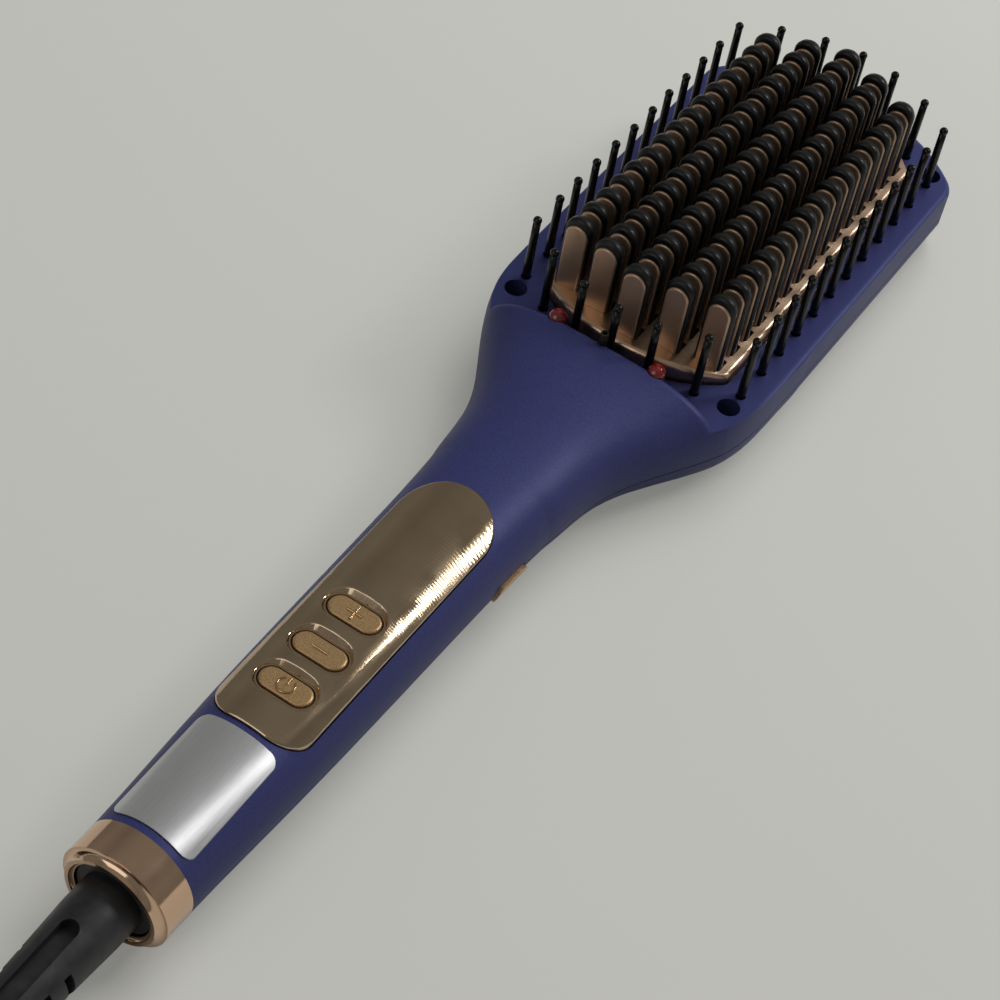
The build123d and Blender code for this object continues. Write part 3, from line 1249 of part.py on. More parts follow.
with BuildPart() as plug_body:
    x, entry = PLUG_ENTRY
    relief_end = entry + PLUG_RELIEF_LENGTH
    with BuildSketch(Plane(origin=(x, entry, PLUG_THICKNESS / 2), z_dir=(0, 1, 0))):
        Circle(CORD_RADIUS + PLUG_RELIEF_WALL)
    with BuildSketch(Plane(origin=(x, relief_end, PLUG_THICKNESS / 2), z_dir=(0, 1, 0))):
        Circle(CORD_RADIUS + 2 * PLUG_RELIEF_WALL)
    loft()
    with BuildSketch(Plane.XY):
        with BuildLine():
            half = PLUG_WIDTH / 2
            shoulder = relief_end + PLUG_SHOULDER
            front = relief_end + PLUG_LENGTH
            Polyline((x - PLUG_NECK, relief_end), (x + PLUG_NECK, relief_end), (x + half, shoulder),
                     (x + half, front), (x - half, front), (x - half, shoulder), close=True)
        make_face()
    extrude(amount=PLUG_THICKNESS)
    fillet(plug_body.edges().filter_by(Axis.Z), radius=PLUG_CORNER)
    rims = plug_body.faces().filter_by(Axis.Z).sort_by(Axis.Z)
    fillet(rims[0].edges() + rims[-1].edges(), radius=PLUG_ROUND)
finish(plug_body.part, "plug_body")

with BuildPart() as plug_pins:
    with BuildSketch(Plane(origin=(x, front, PLUG_THICKNESS / 2), x_dir=(1, 0, 0), z_dir=(0, 1, 0))):
        with Locations((PLUG_PIN_SPACING / 2, 0), (-PLUG_PIN_SPACING / 2, 0)):
            Circle(PLUG_PIN_RADIUS)
    extrude(amount=PLUG_PIN_LENGTH)
    fillet(plug_pins.faces().filter_by(Axis.Y).sort_by(Axis.Y)[-2:].edges(), radius=PLUG_PIN_ROUND)
finish(plug_pins.part, "plug_pins")
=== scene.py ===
"""Finishes of a heated hair brush: satin plate and comb field, mirror panel, navy shells, rubber cord."""
from math import cos, pi, radians, sin, sqrt

import bmesh
import bpy
from mathutils import Matrix, Vector


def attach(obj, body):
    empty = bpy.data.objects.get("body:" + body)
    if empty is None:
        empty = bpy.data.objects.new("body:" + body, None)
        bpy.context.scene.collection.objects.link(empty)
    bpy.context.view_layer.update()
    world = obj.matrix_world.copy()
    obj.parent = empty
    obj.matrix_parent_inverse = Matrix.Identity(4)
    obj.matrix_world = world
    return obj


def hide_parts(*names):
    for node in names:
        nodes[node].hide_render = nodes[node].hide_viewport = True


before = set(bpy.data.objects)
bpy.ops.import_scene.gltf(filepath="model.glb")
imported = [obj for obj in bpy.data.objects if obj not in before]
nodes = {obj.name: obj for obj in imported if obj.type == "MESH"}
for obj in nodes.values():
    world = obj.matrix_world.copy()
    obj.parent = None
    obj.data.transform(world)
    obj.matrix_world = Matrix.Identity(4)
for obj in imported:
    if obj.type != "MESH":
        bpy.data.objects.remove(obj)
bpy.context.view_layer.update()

MM = 0.001


def placed(name, data):
    """A new object in the scene."""
    piece = bpy.data.objects.new(name, data)
    bpy.context.scene.collection.objects.link(piece)
    return piece


# ---------------------------------------------------------------- camera, first of all
CAMERA_PLACE = Vector((0.14155, -0.30314, 0.39162))
CAMERA_LOOK = Vector((-0.27523, 0.60580, -0.74650)).normalized()
CAMERA_RIGHT = Vector((0.82738, 0.54468, 0.13696)).normalized()
CAMERA_LENS_MM = 91.08
SENSOR_MM = 36.0

camera_data = bpy.data.cameras.new("camera")
camera_data.lens = CAMERA_LENS_MM
camera_data.sensor_width = SENSOR_MM
camera = placed("camera", camera_data)
camera_up = CAMERA_RIGHT.cross(CAMERA_LOOK)
turn = Matrix((CAMERA_RIGHT, camera_up, -CAMERA_LOOK)).transposed()
camera.matrix_world = Matrix.Translation(CAMERA_PLACE) @ turn.to_4x4()
bpy.context.scene.camera = camera


# ---------------------------------------------------------------- small helpers for node trees
NOISE_LOW, NOISE_HIGH = 0.3, 0.7
TONE_LOW, TONE_HIGH = 0.32, 0.68
PLAIN_SPECULAR = 0.5


def surface(name):
    """A new material: its tree, its shader and the piece's own coordinates."""
    material = bpy.data.materials.new(name)
    material.use_nodes = True
    tree = material.node_tree
    where = tree.nodes.new("ShaderNodeTexCoord").outputs["Object"]
    return material, tree, tree.nodes["Principled BSDF"], where


def cloud(tree, where, size, detail=3.0, stretch=(1.0, 1.0, 1.0)):
    """Cloudy noise whose patches are about a size in metres, drawn out along an axis by a stretch."""
    mapping = tree.nodes.new("ShaderNodeMapping")
    mapping.inputs["Scale"].default_value = [1 / (size * share) for share in stretch]
    noise = tree.nodes.new("ShaderNodeTexNoise")
    noise.inputs["Scale"].default_value = 1.0
    noise.inputs["Detail"].default_value = detail
    tree.links.new(where, mapping.inputs["Vector"])
    tree.links.new(mapping.outputs["Vector"], noise.inputs["Vector"])
    return noise.outputs["Fac"]


def between(tree, value, low, high, start=NOISE_LOW, end=NOISE_HIGH):
    """A value spread over a range."""
    node = tree.nodes.new("ShaderNodeMapRange")
    node.inputs["From Min"].default_value = start
    node.inputs["From Max"].default_value = end
    node.inputs["To Min"].default_value = low
    node.inputs["To Max"].default_value = high
    tree.links.new(value, node.inputs["Value"])
    return node.outputs["Result"]


def combined(tree, operation, first, second):
    """Two values added or multiplied."""
    node = tree.nodes.new("ShaderNodeMath")
    node.operation = operation
    tree.links.new(first, node.inputs[0])
    tree.links.new(second, node.inputs[1])
    return node.outputs["Value"]


def two_tones(tree, value, first, second):
    """A colour that runs from a first to a second tone as a noise value rises."""
    ramp = tree.nodes.new("ShaderNodeValToRGB")
    for stop, place, tone in zip(ramp.color_ramp.elements, (TONE_LOW, TONE_HIGH), (first, second)):
        stop.position = place
        stop.color = (*tone, 1.0)
    tree.links.new(value, ramp.inputs["Fac"])
    return ramp.outputs["Color"]


def relief(tree, shader, height, depth, below=None):
    """Fine relief of a depth in metres, laid over another relief where one is given."""
    bump = tree.nodes.new("ShaderNodeBump")
    bump.inputs["Strength"].default_value = 1.0
    bump.inputs["Distance"].default_value = depth
    tree.links.new(height, bump.inputs["Height"])
    if below is not None:
        tree.links.new(below, bump.inputs["Normal"])
    tree.links.new(bump.outputs["Normal"], shader.inputs["Normal"])
    return bump.outputs["Normal"]


def grained(name, first, second, patch, rough, metal=0.0, grain=0.3 * MM, depth=0.01 * MM, specular=PLAIN_SPECULAR):
    """A general finish: two tones in patches, roughness that varies, and a fine grain."""
    material, tree, shader, where = surface(name)
    patches = cloud(tree, where, patch)
    fine = cloud(tree, where, grain, detail=2.0)
    tree.links.new(two_tones(tree, patches, first, second), shader.inputs["Base Color"])
    tree.links.new(between(tree, patches, rough[0], rough[1]), shader.inputs["Roughness"])
    relief(tree, shader, fine, depth)
    shader.inputs["Metallic"].default_value = metal
    shader.inputs["Specular IOR Level"].default_value = specular
    return material


# ---------------------------------------------------------------- finishes
def navy_paint():
    """Matt metallic navy: a fine sparkle over broad, faint patches."""
    material, tree, shader, where = surface("navy_paint")
    sparkle = cloud(tree, where, 0.20 * MM, detail=1.0)
    patches = cloud(tree, where, 40 * MM)
    tones = two_tones(tree, sparkle, (0.021, 0.024, 0.078), (0.035, 0.040, 0.131))
    tree.links.new(tones, shader.inputs["Base Color"])
    tree.links.new(between(tree, patches, 0.44, 0.52), shader.inputs["Roughness"])
    relief(tree, shader, sparkle, 0.008 * MM)
    shader.inputs["Metallic"].default_value = 0.22
    shader.inputs["Specular IOR Level"].default_value = 0.22
    return material


def rose_satin(name, first, second, metal, rough, peel_depth):
    """Rose-gold satin coating with a faint orange-peel."""
    material, tree, shader, where = surface(name)
    peel = cloud(tree, where, 1.1 * MM, detail=2.0)
    fine = cloud(tree, where, 0.20 * MM, detail=1.0)
    patches = cloud(tree, where, 14 * MM)
    tree.links.new(two_tones(tree, patches, first, second), shader.inputs["Base Color"])
    tree.links.new(between(tree, fine, rough[0], rough[1]), shader.inputs["Roughness"])
    broad = relief(tree, shader, peel, peel_depth)
    relief(tree, shader, fine, 0.004 * MM, broad)
    shader.inputs["Metallic"].default_value = metal
    return material


SMEAR_PLACE = Vector((7.0, -26.0, 22.0)) * MM
SMEAR_REACH = Vector((5.5, 21.0, 9.0)) * MM
SMEAR_LINES = 0.55 * MM
SMEAR_DEPTH = 0.034 * MM
SMEAR_WAVER = 2.5
SMEAR_WAVER_SCALE = 0.6
WAVE_SCALE = 0.314


def panel_mirror():
    """Rose-gold mirror, wiped and touched: fine curved lines in a smear along its right edge."""
    material, tree, shader, where = surface("panel_mirror")
    dabs = cloud(tree, where, 7 * MM, detail=5.0)
    wiped = cloud(tree, where, 3 * MM, detail=5.0, stretch=(0.5, 4.0, 1.0))
    inside = tree.nodes.new("ShaderNodeMapping")
    inside.vector_type = "TEXTURE"
    inside.inputs["Location"].default_value = SMEAR_PLACE
    inside.inputs["Scale"].default_value = SMEAR_REACH
    tree.links.new(where, inside.inputs["Vector"])
    spot = tree.nodes.new("ShaderNodeTexGradient")
    spot.gradient_type = "SPHERICAL"
    tree.links.new(inside.outputs["Vector"], spot.inputs["Vector"])
    lines = tree.nodes.new("ShaderNodeTexWave")
    lines.wave_type = "RINGS"
    lines.rings_direction = "SPHERICAL"
    lines.inputs["Scale"].default_value = WAVE_SCALE / SMEAR_LINES
    lines.inputs["Distortion"].default_value = SMEAR_WAVER
    lines.inputs["Detail"].default_value = 1.0
    lines.inputs["Detail Scale"].default_value = SMEAR_WAVER_SCALE
    tree.links.new(where, lines.inputs["Vector"])
    touched = combined(tree, "MULTIPLY", between(tree, spot.outputs["Fac"], 0.0, 1.0, 0.05, 0.5),
                       between(tree, dabs, 0.15, 1.0, 0.38, 0.55))
    tones = two_tones(tree, dabs, (0.50, 0.375, 0.245), (0.56, 0.425, 0.285))
    roughness = combined(tree, "ADD", between(tree, wiped, 0.05, 0.12), between(tree, touched, 0.0, 0.15, 0.0, 1.0))
    tree.links.new(tones, shader.inputs["Base Color"])
    tree.links.new(roughness, shader.inputs["Roughness"])
    relief(tree, shader, combined(tree, "MULTIPLY", touched, lines.outputs["Fac"]), SMEAR_DEPTH)
    shader.inputs["Metallic"].default_value = 1.0
    return material


def button_gold():
    """Champagne gold with a coarse, sanded grain."""
    material, tree, shader, where = surface("button_gold")
    grain = cloud(tree, where, 0.26 * MM, detail=2.0)
    tree.links.new(two_tones(tree, grain, (0.37, 0.232, 0.105), (0.68, 0.455, 0.235)), shader.inputs["Base Color"])
    tree.links.new(between(tree, grain, 0.34, 0.50), shader.inputs["Roughness"])
    relief(tree, shader, grain, 0.040 * MM)
    shader.inputs["Metallic"].default_value = 0.85
    return material


def red_lens():
    """Clear red moulded plastic."""
    material, tree, shader, where = surface("red_lens")
    flow = cloud(tree, where, 1.5 * MM)
    tree.links.new(two_tones(tree, flow, (0.20, 0.004, 0.004), (0.32, 0.010, 0.008)), shader.inputs["Base Color"])
    tree.links.new(between(tree, flow, 0.05, 0.14), shader.inputs["Roughness"])
    shader.inputs["Transmission Weight"].default_value = 0.55
    shader.inputs["IOR"].default_value = 1.49
    shader.inputs["Coat Weight"].default_value = 0.7
    shader.inputs["Coat Roughness"].default_value = 0.05
    return material


def bare_foil():
    """Satin silver foil, faintly brushed along."""
    material, tree, shader, where = surface("bare_foil")
    brushed = cloud(tree, where, 0.25 * MM, detail=3.0, stretch=(1.0, 30.0, 30.0))
    wrinkle = cloud(tree, where, 9 * MM, detail=1.0)
    tree.links.new(two_tones(tree, brushed, (0.60, 0.60, 0.61), (0.66, 0.66, 0.67)), shader.inputs["Base Color"])
    tree.links.new(between(tree, brushed, 0.34, 0.40), shader.inputs["Roughness"])
    broad = relief(tree, shader, wrinkle, 0.05 * MM)
    relief(tree, shader, brushed, 0.0015 * MM, broad)
    shader.inputs["Metallic"].default_value = 0.9
    return material


def boot_rubber():
    """Moulded rubber, worn a little glossy in patches."""
    material, tree, shader, where = surface("boot_rubber")
    fine = cloud(tree, where, 0.20 * MM, detail=2.0)
    worn = cloud(tree, where, 3.0 * MM, detail=4.0)
    tree.links.new(two_tones(tree, worn, (0.007, 0.007, 0.008), (0.014, 0.014, 0.016)), shader.inputs["Base Color"])
    tree.links.new(between(tree, worn, 0.38, 0.56), shader.inputs["Roughness"])
    relief(tree, shader, fine, 0.014 * MM)
    return material


def brushed_steel(name, tone):
    """Plain grey metal, finely brushed."""
    return grained(name, (tone, tone, tone * 0.98), (tone * 1.2, tone * 1.2, tone * 1.2), 3 * MM,
                   (0.25, 0.40), metal=1.0, grain=0.2 * MM, depth=0.005 * MM)


NAVY = navy_paint()
PLATE_SATIN = rose_satin("plate_satin", (0.64, 0.44, 0.30), (0.72, 0.51, 0.36), 1.0, (0.27, 0.40), 0.030 * MM)
FIN_SATIN = rose_satin("fin_satin", (0.47, 0.315, 0.205), (0.53, 0.36, 0.24), 0.8, (0.36, 0.46), 0.008 * MM)
PANEL_MIRROR = panel_mirror()
BUTTON_GOLD = button_gold()
COLLAR_PLATING = grained("collar_plating", (0.62, 0.415, 0.275), (0.70, 0.48, 0.33), 12 * MM, (0.05, 0.13),
                         metal=1.0, grain=0.8 * MM, depth=0.002 * MM)
COMB_BLACK = grained("comb_black", (0.003, 0.003, 0.003), (0.006, 0.006, 0.006), 6 * MM, (0.32, 0.44),
                     grain=0.25 * MM, depth=0.006 * MM, specular=0.32)
PIN_BLACK = grained("pin_black", (0.002, 0.002, 0.002), (0.004, 0.004, 0.004), 5 * MM, (0.20, 0.30),
                    grain=0.4 * MM, depth=0.002 * MM, specular=0.30)
FRAME_BLACK = grained("frame_black", (0.010, 0.010, 0.010), (0.020, 0.020, 0.021), 5 * MM, (0.5, 0.65))
LENS_RED = red_lens()
FOIL = bare_foil()
STEEL = brushed_steel("screw_steel", 0.42)
SPREADER_ALLOY = brushed_steel("spreader_alloy", 0.60)
CERAMIC = grained("fired_ceramic", (0.74, 0.72, 0.66), (0.84, 0.82, 0.77), 4 * MM, (0.55, 0.7))
MICA = grained("mica_flakes", (0.42, 0.38, 0.27), (0.62, 0.57, 0.43), 3 * MM, (0.2, 0.4), grain=1.2 * MM)
BOARD_GREEN = grained("board_varnish", (0.014, 0.10, 0.035), (0.022, 0.15, 0.055), 2 * MM, (0.2, 0.34))
COMPONENT_BLACK = grained("component_black", (0.015, 0.015, 0.016), (0.024, 0.024, 0.026), 3 * MM, (0.4, 0.55))
TANK_SMOKE = grained("tank_smoke", (0.30, 0.34, 0.38), (0.38, 0.42, 0.46), 12 * MM, (0.1, 0.2))
SILICONE = grained("plug_silicone", (0.020, 0.020, 0.024), (0.030, 0.030, 0.036), 3 * MM, (0.55, 0.7),
                   grain=0.35 * MM, depth=0.01 * MM)
BRASS = grained("contact_brass", (0.50, 0.35, 0.16), (0.60, 0.44, 0.22), 2 * MM, (0.25, 0.4), metal=1.0)
DARK_BRASS = grained("nozzle_oxide", (0.040, 0.034, 0.026), (0.085, 0.068, 0.045), 1.5 * MM, (0.32, 0.5), metal=0.8)
BOOT_RUBBER = boot_rubber()
LEAD_RED = grained("lead_silicone", (0.28, 0.02, 0.018), (0.36, 0.035, 0.03), 4 * MM, (0.4, 0.55))
CORD_BLACK = grained("cord_black", (0.012, 0.012, 0.013), (0.020, 0.020, 0.022), 15 * MM, (0.42, 0.56),
                     grain=0.35 * MM, depth=0.008 * MM)
PLUG_BLACK = grained("plug_black", (0.012, 0.012, 0.013), (0.022, 0.022, 0.024), 8 * MM, (0.45, 0.6),
                     grain=0.3 * MM, depth=0.012 * MM)
PIN_NICKEL = grained("pin_nickel", (0.60, 0.59, 0.56), (0.70, 0.69, 0.66), 3 * MM, (0.12, 0.25), metal=1.0)

FINISHES = {
    "front_shell": NAVY,
    "rear_shell": NAVY,
    "control_panel": PANEL_MIRROR,
    "plus_button": BUTTON_GOLD,
    "minus_button": BUTTON_GOLD,
    "side_button": BUTTON_GOLD,
    "heating_plate": PLATE_SATIN,
    "pin_frame": FRAME_BLACK,
    "red_lens_left": LENS_RED,
    "red_lens_right": LENS_RED,
    "rating_label": FOIL,
    "head_screws": STEEL,
    "handle_screws": STEEL,
    "clamp_screws": STEEL,
    "heater_clamp": STEEL,
    "heat_spreader": SPREADER_ALLOY,
    "heater_left": CERAMIC,
    "heater_right": CERAMIC,
    "thermistor": CERAMIC,
    "mica_sheet": MICA,
    "main_board": BOARD_GREEN,
    "switch_board": BOARD_GREEN,
    "lens_board": BOARD_GREEN,
    "button_switches": COMPONENT_BLACK,
    "side_switch": COMPONENT_BLACK,
    "power_parts": COMPONENT_BLACK,
    "display_module": COMPONENT_BLACK,
    "thermal_fuse": COMPONENT_BLACK,
    "steam_pump": COMPONENT_BLACK,
    "swivel_bush": COMPONENT_BLACK,
    "water_tank": TANK_SMOKE,
    "filler_plug": SILICONE,
    "water_hose": SILICONE,
    "steam_nozzle": DARK_BRASS,
    "swivel_contacts": BRASS,
    "vaporiser": BRASS,
    "collar": COLLAR_PLATING,
    "strain_relief": BOOT_RUBBER,
    "inner_leads": LEAD_RED,
    "plug_body": PLUG_BLACK,
    "plug_pins": PIN_NICKEL,
}
for node, material in FINISHES.items():
    nodes[node].data.materials.clear()
    nodes[node].data.materials.append(material)


# ---------------------------------------------------------------- the cord, in metres
def millimetres(*points):
    """Points given in millimetres."""
    return [Vector(point) * MM for point in points]


CORD_RADIUS = 3.0 * MM
CORD_BEVEL_STEPS = 5
CORD_CURVE_STEPS = 6
CORD_ORDER = 3
CORD_LEAD = millimetres((0, -156, 12), (0, -173, 12), (7, -189.5, 8), (19, -204, 4.4), (27, -218, 3.05))
CORD_TAIL = millimetres((-61.5, -218, 9), (-56.8, -203, 8.6), (-52.8, -188, 7.2), (-52.5, -173, 6.85))
COIL_CENTRE = Vector((-17.5, -234, 0)) * MM
COIL_OUTER = 45.5 * MM
COIL_INNER = 24.5 * MM
COIL_PITCH = 6.0 * MM
COIL_LOWER_Z = 3.0 * MM
COIL_UPPER_Z = 9.0 * MM
COIL_LOWER_TURNS = 3.5
COIL_UPPER_TURNS = 4.0
COIL_RISE_TURNS = 0.5
COIL_RISE_DIP = 0.9 * MM
COIL_STEPS = 20


def coil_point(turns):
    """A point of the coil: inwards on the floor, up at the middle, then outwards on top."""
    if turns <= COIL_LOWER_TURNS:
        radius = COIL_OUTER - COIL_PITCH * turns
        height = COIL_LOWER_Z
    else:
        after = turns - COIL_LOWER_TURNS
        share = min(1.0, after / COIL_RISE_TURNS)
        height = COIL_LOWER_Z + (COIL_UPPER_Z - COIL_LOWER_Z) * share * share * (3 - 2 * share)
        radius = COIL_INNER + COIL_PITCH * max(0.0, after - COIL_RISE_TURNS) - COIL_RISE_DIP * sin(pi * share)
    angle = -2 * pi * turns
    return COIL_CENTRE + Vector((radius * cos(angle), radius * sin(angle), height))


def cord_curve(name, points):
    """A round cord on a smooth curve through a given route."""
    data = bpy.data.curves.new(name, "CURVE")
    data.dimensions = "3D"
    data.bevel_depth = CORD_RADIUS
    data.bevel_resolution = CORD_BEVEL_STEPS
    data.resolution_u = CORD_CURVE_STEPS
    data.use_fill_caps = True
    spline = data.splines.new("NURBS")
    spline.points.add(len(points) - 1)
    for control, point in zip(spline.points, points):
        control.co = (*point, 1.0)
    spline.order_u = CORD_ORDER
    spline.use_endpoint_u = True
    data.materials.append(CORD_BLACK)
    return placed(name, data)


coil_steps = round((COIL_LOWER_TURNS + COIL_UPPER_TURNS) * COIL_STEPS)
coil_points = [coil_point(step / COIL_STEPS) for step in range(coil_steps + 1)]
mains_cord = cord_curve("mains_cord", CORD_LEAD + coil_points + CORD_TAIL)
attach(mains_cord, "root")
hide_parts("cord_lead", "cord_coil", "cord_tail")

# ---------------------------------------------------------------- comb field: rows of blades and guard pins
FIELD_Y = 100.75 * MM
RIM_Z = 18.0 * MM
ROOT_Z = 16.0 * MM
PLATE_PROUD = 4.8 * MM
PLATE_CROWN_RADIUS = 90.0 * MM
COLUMN_COUNTS = (15, 16, 17, 16, 15)
COLUMN_PITCH = 8.73 * MM
TOOTH_PITCH = 5.8 * MM
FIN_WIDTH = 5.3 * MM
FIN_THICKNESS = 1.4 * MM
FIN_HEIGHT = 16.9 * MM
FIN_FRONT = -3.07 * MM
FIN_EDGE = 0.45 * MM
FIN_BACK_EDGE = 0.1 * MM
TOOTH_WIDTH = 6.5 * MM
TOOTH_THICKNESS = 3.5 * MM
TOOTH_OVER = 1.7 * MM
TOOTH_FRONT_EDGE = 0.9 * MM
TOOTH_BACK_EDGE = 2.5 * MM
TOOTH_SETBACK = 0.4 * MM
ARCH_STEPS = 20
EDGE_STEPS = 4
FACE_MARGIN = 0.15 * MM
MERGE_DISTANCE = 0.001 * MM
SHARP_ANGLE = radians(40)
PIN_COLUMN_X = 27.0 * MM
PIN_PITCH = 7.72 * MM
PINS_PER_SIDE = 12
PIN_END_SHIFT = 1.18 * MM
PIN_ARC_PLACES_MM = ((0.0, 54.72), (9.05, 53.39), (18.85, 49.44))
PIN_TIP_Z = 35.2 * MM
PIN_ROOT_RADIUS = 1.0 * MM
PIN_NECK_RADIUS = 0.84 * MM
PIN_BALL_RADIUS = 0.98 * MM
PIN_LEAN = radians(0.5)
PIN_SEED = 11
PIN_SIDES = 24
PIN_SHANK_STEPS = 4
PIN_BALL_RINGS = 14


def blade_ring(width, top, inset):
    """Outline of a blade with a full round top, drawn in from its edge but not at its foot."""
    half = width / 2 - inset
    centre_z = top - width / 2
    angles = [pi * step / ARCH_STEPS for step in range(ARCH_STEPS + 1)]
    arch = [(half * cos(angle), centre_z + half * sin(angle)) for angle in angles]
    return [(half, ROOT_Z), *arch, (-half, ROOT_Z)]


def ringed_mesh(name, rings):
    """A closed mesh through rings of points that match one to one, sharp only where it turns sharply."""
    work = bmesh.new()
    rings = [[work.verts.new(point) for point in ring] for ring in rings]
    for near, far in zip(rings, rings[1:]):
        for index in range(len(near)):
            after = (index + 1) % len(near)
            work.faces.new((near[index], near[after], far[after], far[index]))
    work.faces.new(rings[0])
    work.faces.new(rings[-1])
    bmesh.ops.remove_doubles(work, verts=work.verts, dist=MERGE_DISTANCE)
    bmesh.ops.recalc_face_normals(work, faces=work.faces)
    for face in work.faces:
        face.smooth = True
    mesh = bpy.data.meshes.new(name)
    work.to_mesh(mesh)
    work.free()
    mesh.set_sharp_from_angle(angle=SHARP_ANGLE)
    return mesh


def blade_mesh(name, x, front, width, thickness, top, front_edge, back_edge):
    """One upright blade: rings from its front face to its back face, both closed."""
    quarter = [pi / 2 * step / EDGE_STEPS for step in range(EDGE_STEPS + 1)]
    stations = [(0.0, front_edge + FACE_MARGIN)]
    stations += [(front_edge * (1 - cos(angle)), front_edge * (1 - sin(angle))) for angle in quarter]
    stations += [(thickness - back_edge * (1 - sin(angle)), back_edge * (1 - cos(angle))) for angle in quarter]
    stations.append((thickness, back_edge + FACE_MARGIN))
    rings = []
    for depth, inset in stations:
        rings.append([(x + across, front + depth, height) for across, height in blade_ring(width, top, inset)])
    return ringed_mesh(name, rings)


def new_tree(name, *sizes):
    """A geometry tree with named inputs: its nodes, its links, its input node and the inputs' identifiers."""
    tree = bpy.data.node_groups.new(name, "GeometryNodeTree")
    tree.interface.new_socket("Geometry", in_out="INPUT", socket_type="NodeSocketGeometry")
    identifiers = {}
    for label, kind in sizes:
        identifiers[label] = tree.interface.new_socket(label, in_out="INPUT", socket_type=kind).identifier
    tree.interface.new_socket("Geometry", in_out="OUTPUT", socket_type="NodeSocketGeometry")
    return tree, tree.nodes.new("NodeGroupInput"), identifiers


def end_tree(tree, start, instances):
    """The end of a tree: instances made real, with their finish."""
    real = tree.nodes.new("GeometryNodeRealizeInstances")
    painted = tree.nodes.new("GeometryNodeSetMaterial")
    end = tree.nodes.new("NodeGroupOutput")
    tree.links.new(instances, real.inputs["Geometry"])
    tree.links.new(real.outputs["Geometry"], painted.inputs["Geometry"])
    tree.links.new(start.outputs["Finish"], painted.inputs["Material"])
    tree.links.new(painted.outputs["Geometry"], end.inputs["Geometry"])


def blade_row_tree():
    """Copies of one blade, a pitch apart along the brush."""
    tree, start, identifiers = new_tree("blade_row", ("Blades", "NodeSocketInt"), ("Pitch", "NodeSocketFloat"),
                                        ("Finish", "NodeSocketMaterial"))
    step = tree.nodes.new("ShaderNodeCombineXYZ")
    line = tree.nodes.new("GeometryNodeMeshLine")
    copies = tree.nodes.new("GeometryNodeInstanceOnPoints")
    tree.links.new(start.outputs["Pitch"], step.inputs["Y"])
    tree.links.new(start.outputs["Blades"], line.inputs["Count"])
    tree.links.new(step.outputs["Vector"], line.inputs["Offset"])
    tree.links.new(line.outputs["Mesh"], copies.inputs["Points"])
    tree.links.new(start.outputs["Geometry"], copies.inputs["Instance"])
    end_tree(tree, start, copies.outputs["Instances"])
    return tree, identifiers


def pin_field_tree():
    """A tapered pin with a ball tip on every point, each leaning a very little its own way."""
    tree, start, identifiers = new_tree(
        "pin_field", ("Height", "NodeSocketFloat"), ("Root radius", "NodeSocketFloat"),
        ("Neck radius", "NodeSocketFloat"), ("Tip radius", "NodeSocketFloat"), ("Lean", "NodeSocketFloat"),
        ("Seed", "NodeSocketInt"), ("Finish", "NodeSocketMaterial"))
    shank_height = tree.nodes.new("ShaderNodeMath")
    shank_height.operation = "SUBTRACT"
    tree.links.new(start.outputs["Height"], shank_height.inputs[0])
    tree.links.new(start.outputs["Tip radius"], shank_height.inputs[1])
    shank = tree.nodes.new("GeometryNodeMeshCone")
    shank.inputs["Vertices"].default_value = PIN_SIDES
    shank.inputs["Side Segments"].default_value = PIN_SHANK_STEPS
    tree.links.new(start.outputs["Neck radius"], shank.inputs["Radius Top"])
    tree.links.new(start.outputs["Root radius"], shank.inputs["Radius Bottom"])
    tree.links.new(shank_height.outputs["Value"], shank.inputs["Depth"])
    ball = tree.nodes.new("GeometryNodeMeshUVSphere")
    ball.inputs["Segments"].default_value = PIN_SIDES
    ball.inputs["Rings"].default_value = PIN_BALL_RINGS
    tree.links.new(start.outputs["Tip radius"], ball.inputs["Radius"])
    lift = tree.nodes.new("ShaderNodeCombineXYZ")
    tree.links.new(shank_height.outputs["Value"], lift.inputs["Z"])
    raised = tree.nodes.new("GeometryNodeTransform")
    tree.links.new(ball.outputs["Mesh"], raised.inputs["Geometry"])
    tree.links.new(lift.outputs["Vector"], raised.inputs["Translation"])
    whole = tree.nodes.new("GeometryNodeJoinGeometry")
    tree.links.new(raised.outputs["Geometry"], whole.inputs["Geometry"])
    tree.links.new(shank.outputs["Mesh"], whole.inputs["Geometry"])
    smooth = tree.nodes.new("GeometryNodeSetShadeSmooth")
    tree.links.new(whole.outputs["Geometry"], smooth.inputs["Geometry"])
    opposite = tree.nodes.new("ShaderNodeMath")
    opposite.operation = "MULTIPLY"
    opposite.inputs[1].default_value = -1.0
    tree.links.new(start.outputs["Lean"], opposite.inputs[0])
    lowest = tree.nodes.new("ShaderNodeCombineXYZ")
    highest = tree.nodes.new("ShaderNodeCombineXYZ")
    for axis in ("X", "Y"):
        tree.links.new(opposite.outputs["Value"], lowest.inputs[axis])
        tree.links.new(start.outputs["Lean"], highest.inputs[axis])
    lean = tree.nodes.new("FunctionNodeRandomValue")
    lean.data_type = "FLOAT_VECTOR"
    tree.links.new(lowest.outputs["Vector"], lean.inputs[0])
    tree.links.new(highest.outputs["Vector"], lean.inputs[1])
    tree.links.new(start.outputs["Seed"], lean.inputs["Seed"])
    copies = tree.nodes.new("GeometryNodeInstanceOnPoints")
    tree.links.new(start.outputs["Geometry"], copies.inputs["Points"])
    tree.links.new(smooth.outputs["Geometry"], copies.inputs["Instance"])
    tree.links.new(lean.outputs[0], copies.inputs["Rotation"])
    end_tree(tree, start, copies.outputs["Instances"])
    return tree, identifiers


